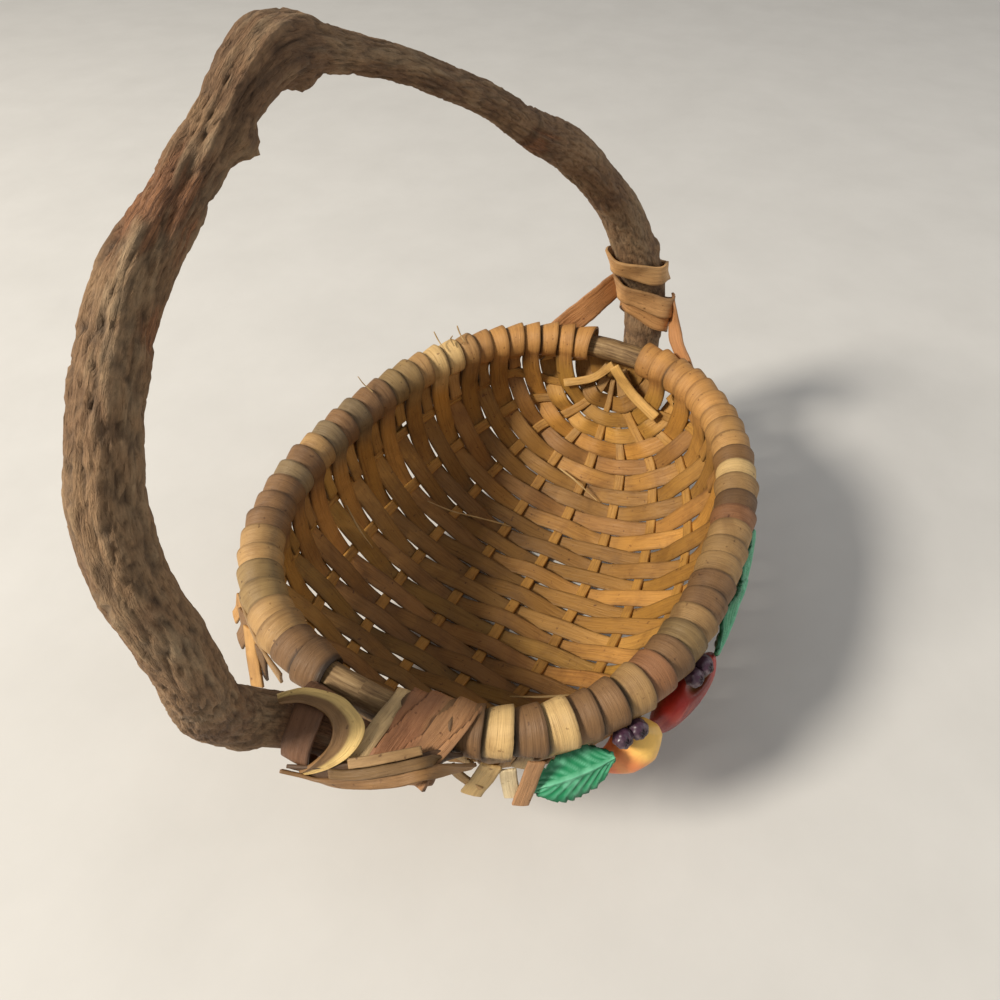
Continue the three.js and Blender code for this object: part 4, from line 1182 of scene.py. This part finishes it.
def loose_tails():
    """Ends of the weavers that hang outside the rim near the foot, by row, drop and stand-off."""
    tails = []
    for side, course, width, tone in (
            (-1, ((2.85, 5, 0.2), (2.6, 12, 1.5), (2.2, 21, 4)), 8.0, PALE),
            (-1, ((3.35, 8, 0.2), (3.4, 14, 2), (3.5, 21, 4.5)), 6.0, srgb(226, 208, 170)),
            (-1, ((1.5, 8, 0.2), (1.9, 13, 1.6), (2.5, 18, 3)), 4.5, TAN),
            (-1, ((4.25, 4, 0.2), (4, 12, 3), (3.7, 22, 7)), 6.5, srgb(196, 148, 104)),
            (1, ((5.0, 4, 0.4), (4.9, 10, 2.5), (5.0, 16, 5.5)), 6.0, srgb(186, 140, 82)),
            (1, ((4.3, 4, 0.4), (4.1, 12, 2), (4.2, 20, 6)), 8.0, BROWN),
            (1, ((3.5, 4, 0.4), (3.1, 14, 3.2), (2.4, 24, 7)), 8.5, srgb(196, 150, 88)),
            (1, ((2.6, 5, 0.3), (2.5, 13, 1.5), (2.6, 23, 2.5)), 6.0, srgb(120, 90, 56))):
        places = [beside_rim(row, side, drop, off) for row, drop, off in course]
        points = spline(np.array([point for point, _ in places]), 8)
        face = places[0][1] if side < 0 else unit(places[0][1] * 0.5 + np.array([-0.6, 0.2, 0.75]))
        faces = [face] * len(points)
        tails.append(laid_strip("loose_tail", points, faces, width, tone, 40 + len(tails), SPLINT))
    hand_over(join("loose_tails", tails), splint_finish, "weaver_splint")


# Ornament glued outside the right wall

LEAF_WIDTH, LEAF_THICKNESS, YELLOW, BERRY = 19.0, 1.4, 18.0, 7.5
FRUIT, FRUIT_HEIGHT, FRUIT_DEPTH, FRUIT_SEAT = 40.0, 38.4, 14.4, 7.0
LEAF_OUTLINE = (0.12, 0.55, 0.85, 0.98, 1.0, 0.9, 0.7, 0.4, 0.03)
green_finish = brushed_paint("leaf_green_paint", 0.42, 0.5)
fruit_finish = brushed_paint("fruit_paint", 0.36, 0.35)
berry_finish = brushed_paint("berry_paint", 0.34, 0.5)


def beside_wall(row, along, drop, stand_off):
    """A place outside the right wall, along and below the rim from a row, and the way out there."""
    centre, out = rim_place(row + along / PITCH, -1)
    return centre + out * stand_off - UP * drop, out


def leaf(name, row, base, tip, awning_degrees, seed):
    """A toothed leaf, folded along its midrib, with raised side veins."""
    piece = blank(name, 56, 28)
    awning = math.radians(awning_degrees)
    stations = np.linspace(0, 1, 25)
    places = [beside_wall(row, *((b + (e - b) * t) * LEAF_WIDTH for b, e in zip(base, tip)))
              for t in stations]
    line, ways = (np.array(column) for column in zip(*places))
    marks = {}

    def place(along, across):
        centre = between(along, stations, line)
        out = unit(between(along, stations, ways))
        level = out * math.sin(awning) - UP * math.cos(awning)
        face = out * math.cos(awning) + UP * math.sin(awning)
        v = (across - 0.5) * 2
        outline = np.interp(along, np.linspace(0, 1, len(LEAF_OUTLINE)), LEAF_OUTLINE)
        teeth = 1 + 0.13 * (1 - (along * 11 + 0.35 * np.abs(v)) % 1) * ease(np.abs(v), 0.5, 1.0)
        half = outline * teeth * LEAF_WIDTH / 2 * 0.94
        side = (along - 0.3 * np.abs(v)) * 8
        vein = peak(side - np.rint(side), 0.14) * ease(np.abs(v), 0.04, 0.2)
        midrib = peak(v, 0.07)
        marks["vein"] = np.maximum(vein * (1 - 0.5 * np.abs(v)), midrib)
        marks["edge"] = ease(np.abs(v), 0.7, 1.0)
        lift = -0.12 * LEAF_WIDTH * outline * np.abs(v) + 0.5 * vein + 0.7 * midrib
        waves = np.sin(along * 9 + seed) * v * v * outline
        lift = lift + 1.1 * waves + 0.4 * ripple(along * 4, v * 2, seed)
        return centre + level * (v * half)[:, None] + face * lift[:, None]

    lay(piece, place, 0, (40, 19))
    bright = ripple(*(vertex_table(piece).T * 240))
    pale = np.clip(marks["vein"] * 0.75 + 0.5 * ease(bright, 0.1, 0.6), 0, 1)
    tone = blend(srgb(24, 128, 82), srgb(118, 200, 160), pale)
    paint(piece, "tone", blend(tone, srgb(12, 84, 54), np.clip(marks["edge"] * 0.8, 0, 1)))
    thicken(piece, LEAF_THICKNESS, 0.3)
    return piece


front_leaf = leaf("front_leaf", 6.1, (0.32, 0.57, 0.66), (-1.1, 0.98, 0.63), 40, 1.0)
hand_over(front_leaf, green_finish, "leaf_paint", "leaf_front")
back_leaves = join("back_leaves", [
    leaf("first_back_leaf", 12.7, (0, 0.85, 0.6), (2.08, 0.78, 0.61), 4, 2.0),
    leaf("second_back_leaf", 12.7, (1.66, 0.85, 0.6), (3.53, 0.74, 0.58), 4, 3.0)])
hand_over(back_leaves, green_finish, "leaf_paint", "leaves_back")


def yellow_fruit():
    """The hooked fruit: plump at its shoulder, orange towards the curled tip. Its places and its
    thickness are shares of its size."""
    shares = [(0, 0.7, 0.33, 0.3), (-0.11, 0.83, 0.43, 0.8), (-0.33, 1.06, 0.5, 1),
              (-0.6, 1.27, 0.49, 0.84), (-0.86, 1.45, 0.4, 0.52), (-1.06, 1.53, 0.3, 0.2)]
    places = np.array([beside_wall(8.5, *(share * YELLOW for share in place[:3]))[0] for place in shares])
    line = Line(spline(places))
    stations = line.shares[::SPLINE_STEPS]
    piece = blank("hooked_yellow_fruit", 60, 32)

    def place(along, around):
        centre = line.at(along)
        tangent = line.direction(along, 0.02)
        side = unit(np.cross(tangent, [0.2, -0.9, 0.3]))
        front = np.cross(side, tangent)
        angle = around * 2 * math.pi
        thick = np.interp(along, stations, [place[3] for place in shares]) * YELLOW / 2
        thick = thick * (1 + 0.06 * np.cos(3 * angle + 1)) * np.sqrt(np.clip(
            np.minimum(along * 14, (1 - along) * 20) + 0.02, 0, 1))
        return centre + round_way(angle, side, front) * thick[:, None]

    along, _ = lay(piece, place, 0, (40, 40))
    blush = ease(along + 0.25 * ripple(*(vertex_table(piece).T * 120)), 0.2, 0.75)
    paint(piece, "tone", blend(srgb(250, 200, 104), srgb(234, 122, 70), blush))
    close_rolled(piece)
    hand_over(piece, fruit_finish, "yellow_paint", "fruit_yellow", smooth=70)


yellow_fruit()


def red_fruit():
    """The round fruit, pressed flat on the wall, with a dimple, lobes and a stalk."""
    row = 11.4
    share = 1 - 0.74 * FRUIT / row_line(row).length
    normal = wall_normal(row, share)
    centre = wall(row, share) + normal * (WEAVE_OFFSET + SPLINT / 2 + CLEAR + FRUIT_SEAT)
    bpy.ops.mesh.primitive_uv_sphere_add(segments=64, ring_count=40, radius=1)
    piece = bpy.context.object
    piece.name = "round_red_fruit"
    ball = vertex_table(piece)
    level = unit(np.cross(UP, normal))
    rise = np.cross(normal, level)
    across, height, out = ball[:, 0], ball[:, 2], -ball[:, 1]
    turn = np.arctan2(out, across)
    dimple = peak(np.hypot(across, out), 0.42) * ease(height, 0.4, 1.0)
    lobes = 1 + 0.035 * np.cos(5 * turn) * np.sqrt(np.clip(1 - height ** 2, 0, 1))
    laid = (centre + level * (across * (FRUIT / 2 * lobes))[:, None]
            + rise * ((height - 0.32 * dimple) * (FRUIT_HEIGHT / 2))[:, None]
            + normal * (np.clip(out, -0.86, 1) * (FRUIT_DEPTH / 2))[:, None])
    put(piece, laid)
    tone = blend(srgb(128, 22, 26), srgb(196, 52, 48),
                 ease(ripple(*(laid.T * 0.09)) + 0.5 * height, -0.2, 0.7))
    tone = blend(tone, srgb(222, 108, 66), ease(ripple(turn * 5, height * 1.2, 0.0), 0.1, 0.7) * 0.35)
    paint(piece, "tone", blend(tone, srgb(70, 78, 30), dimple))
    stalk = blank("stalk", 16, 10)
    foot = centre + rise * 12.5 + normal * 0.6
    bend = Line(spline(np.array([foot, foot + rise * 4 + level * 0.8, foot + rise * 8.5 + level * 3])))

    def place(along, around):
        angle = around * 2 * math.pi
        radius = 1.1 + 0.7 * along ** 3
        return bend.at(along) + round_way(angle, level, normal) * radius[:, None]

    lay(stalk, place, 0, (9, 7))
    paint(stalk, "tone", np.tile(srgb(84, 60, 34), (len(stalk.data.vertices), 1)))
    close_rolled(stalk)
    piece = join("round_red_fruit", [piece, stalk])
    hand_over(piece, fruit_finish, "red_paint", "fruit_red", smooth=70)


red_fruit()


def berries(name, node, row, places, seed):
    """A bunch of berries, each with a small star at its crown."""
    bunch = []
    for number, shares in enumerate(places):
        point, out = beside_wall(row, *(share * BERRY for share in shares))
        bpy.ops.mesh.primitive_uv_sphere_add(segments=40, ring_count=24, radius=1)
        berry = bpy.context.object
        ball = vertex_table(berry)
        x, y, z = ball.T
        level = np.cross(UP, out)
        turn = np.arctan2(y, x)
        crown = peak(1 - z, 0.12)
        size = BERRY / 2 * (1 - 0.22 * crown * (0.6 + 0.4 * np.cos(5 * turn)))
        beads = np.abs(np.sin(3.5 * turn + 2 * z) * np.sin(4.2 * np.arccos(z.clip(-1, 1))))
        size = size * (0.93 + 0.12 * beads ** 0.7 + 0.05 * ripple(*(ball.T * 1.6 + seed + number)))
        facing = unit(out + UP * 0.5)
        cross = unit(np.cross(facing, level))
        way = level * x[:, None] + cross * y[:, None] + facing * z[:, None]
        laid = point + way * size[:, None]
        put(berry, laid)
        dust = ease(ripple(*(ball.T * 2.2 + seed + number * 3)), 0.0, 0.6) * 0.55
        tone = blend(srgb(66, 40, 58), srgb(126, 108, 112), dust)
        paint(berry, "tone", tone * (1 - 0.5 * crown[:, None]))
        bunch.append(berry)
    piece = join(name, bunch)
    hand_over(piece, berry_finish, "purple_paint", node, smooth=70)


berries("front_berries", "berries_front", 7.1, [(0, 0.62, 1.4), (0.78, 0.6, 1.42)], 2.0)
berries("back_berries", "berries_back", 10.6, [(0, 0.66, 1.42), (0.8, 0.6, 1.44), (1.2, 1.14, 1.32)], 5.0)


def loose_fibres():
    """Thin slivers that have come loose from the splints, inside the bowl and on the rim."""
    slivers = []

    def sliver(places, width):
        points = spline(np.array(places), 12)
        faces = np.tile(UP, (len(points), 1))
        widths = width * (1 - 0.6 * np.linspace(-1, 1, len(points)) ** 4)
        slivers.append(laid_strip("sliver", points, faces, widths, PALE * 0.85, 20 + len(slivers),
                                  0.4, 0.0))

    for course in (((18, 0.24, 0), (18.6, 0.29, 2.5), (19.5, 0.35, 3.5), (20.3, 0.41, 0)),
                   ((13.4, 0.12, 0), (13, 0.17, 3), (13.1, 0.22, 0)),
                   ((25.6, 0.43, 0), (25.2, 0.49, 3), (24.4, 0.56, 0)),
                   ((9, 0.6, 0), (9.4, 0.66, 3), (10.3, 0.7, 1))):
        sliver([wall(row, share) - wall_normal(row, share) * (WEAVE_OFFSET + 2.5 + height)
                for row, share, height in course], 0.9)
    for row, lean in ((22.6, 6), (23.2, -3), (23.9, 4), (17.4, 5)):
        middle, out = rim_place(row, 1)
        root = middle + UP * (TURN_RADIUS + 3)
        sliver([root - out * 4, root + UP * 2.5 + out * lean * 0.3, root + UP * 6 + out * lean], 0.6)
    piece = join("loose_fibres", slivers)
    hand_over(piece, lashing_finish, "lashing_splint")


loose_tails()
loose_fibres()
tucked_splint("left_tucked_splint", ((32.3, 0.5, 3), (31.6, 0.28, 3.4), (29.8, 0.21, 2.6)), 4.5, 31.0)
tucked_splint("right_tucked_splint", ((32.3, 0.58, 5), (31.4, 0.75, 4.6), (29.2, 0.8, 2.8)), 6.0, 32.0)

# Stage, light and camera

bpy.ops.mesh.primitive_circle_add(vertices=64, radius=4, fill_type="NGON")
floor = bpy.context.object
floor.name = "floor"
floor.data.materials.append(floor_paper())
floor.select_set(False)

world = bpy.data.worlds.new("studio")
bpy.context.scene.world = world
world.use_nodes = True
background = world.node_tree.nodes["Background"]
background.inputs["Color"].default_value = (1.0, 0.985, 0.96, 1)
background.inputs["Strength"].default_value = 0.36

LAMPS_AIM = Vector((0, 0, 0.08))


def soft_lamp(name, place, size, power, colour):
    bpy.ops.object.light_add(type="AREA", location=place)
    lamp = bpy.context.object
    lamp.name = name
    lamp.data.shape = "DISK"
    lamp.data.size = size
    lamp.data.energy = power
    lamp.data.color = colour
    aim = LAMPS_AIM - Vector(place)
    lamp.rotation_euler = aim.to_track_quat("-Z", "Y").to_euler()
    lamp.select_set(False)


soft_lamp("left_softbox", (-1.5, 1.18, 1.66), 0.57, 84, (1.0, 0.93, 0.82))
soft_lamp("right_fill", (0.9, -1.3, 0.9), 1.2, 5, (0.97, 0.98, 1.0))

LOOKING_DOWN = math.radians(46)
CAMERA_PLACE = np.array([-216.8, -107.9, 242.0])
bpy.ops.object.camera_add()
camera = bpy.context.object
camera.data.lens = 27.04
camera.data.sensor_width = 36
camera.data.clip_start = 0.01
camera.location = RIM_CENTRE + CAMERA_PLACE * MM
away = Vector((-TO_RIGHT[1], TO_RIGHT[0], 0))
heading_down = away * math.cos(LOOKING_DOWN) - Vector((0, 0, 1)) * math.sin(LOOKING_DOWN)
camera.rotation_euler = heading_down.to_track_quat("-Z", "Y").to_euler()
camera.select_set(False)
bpy.context.scene.camera = camera
bpy.context.scene.view_settings.view_transform = "Standard"
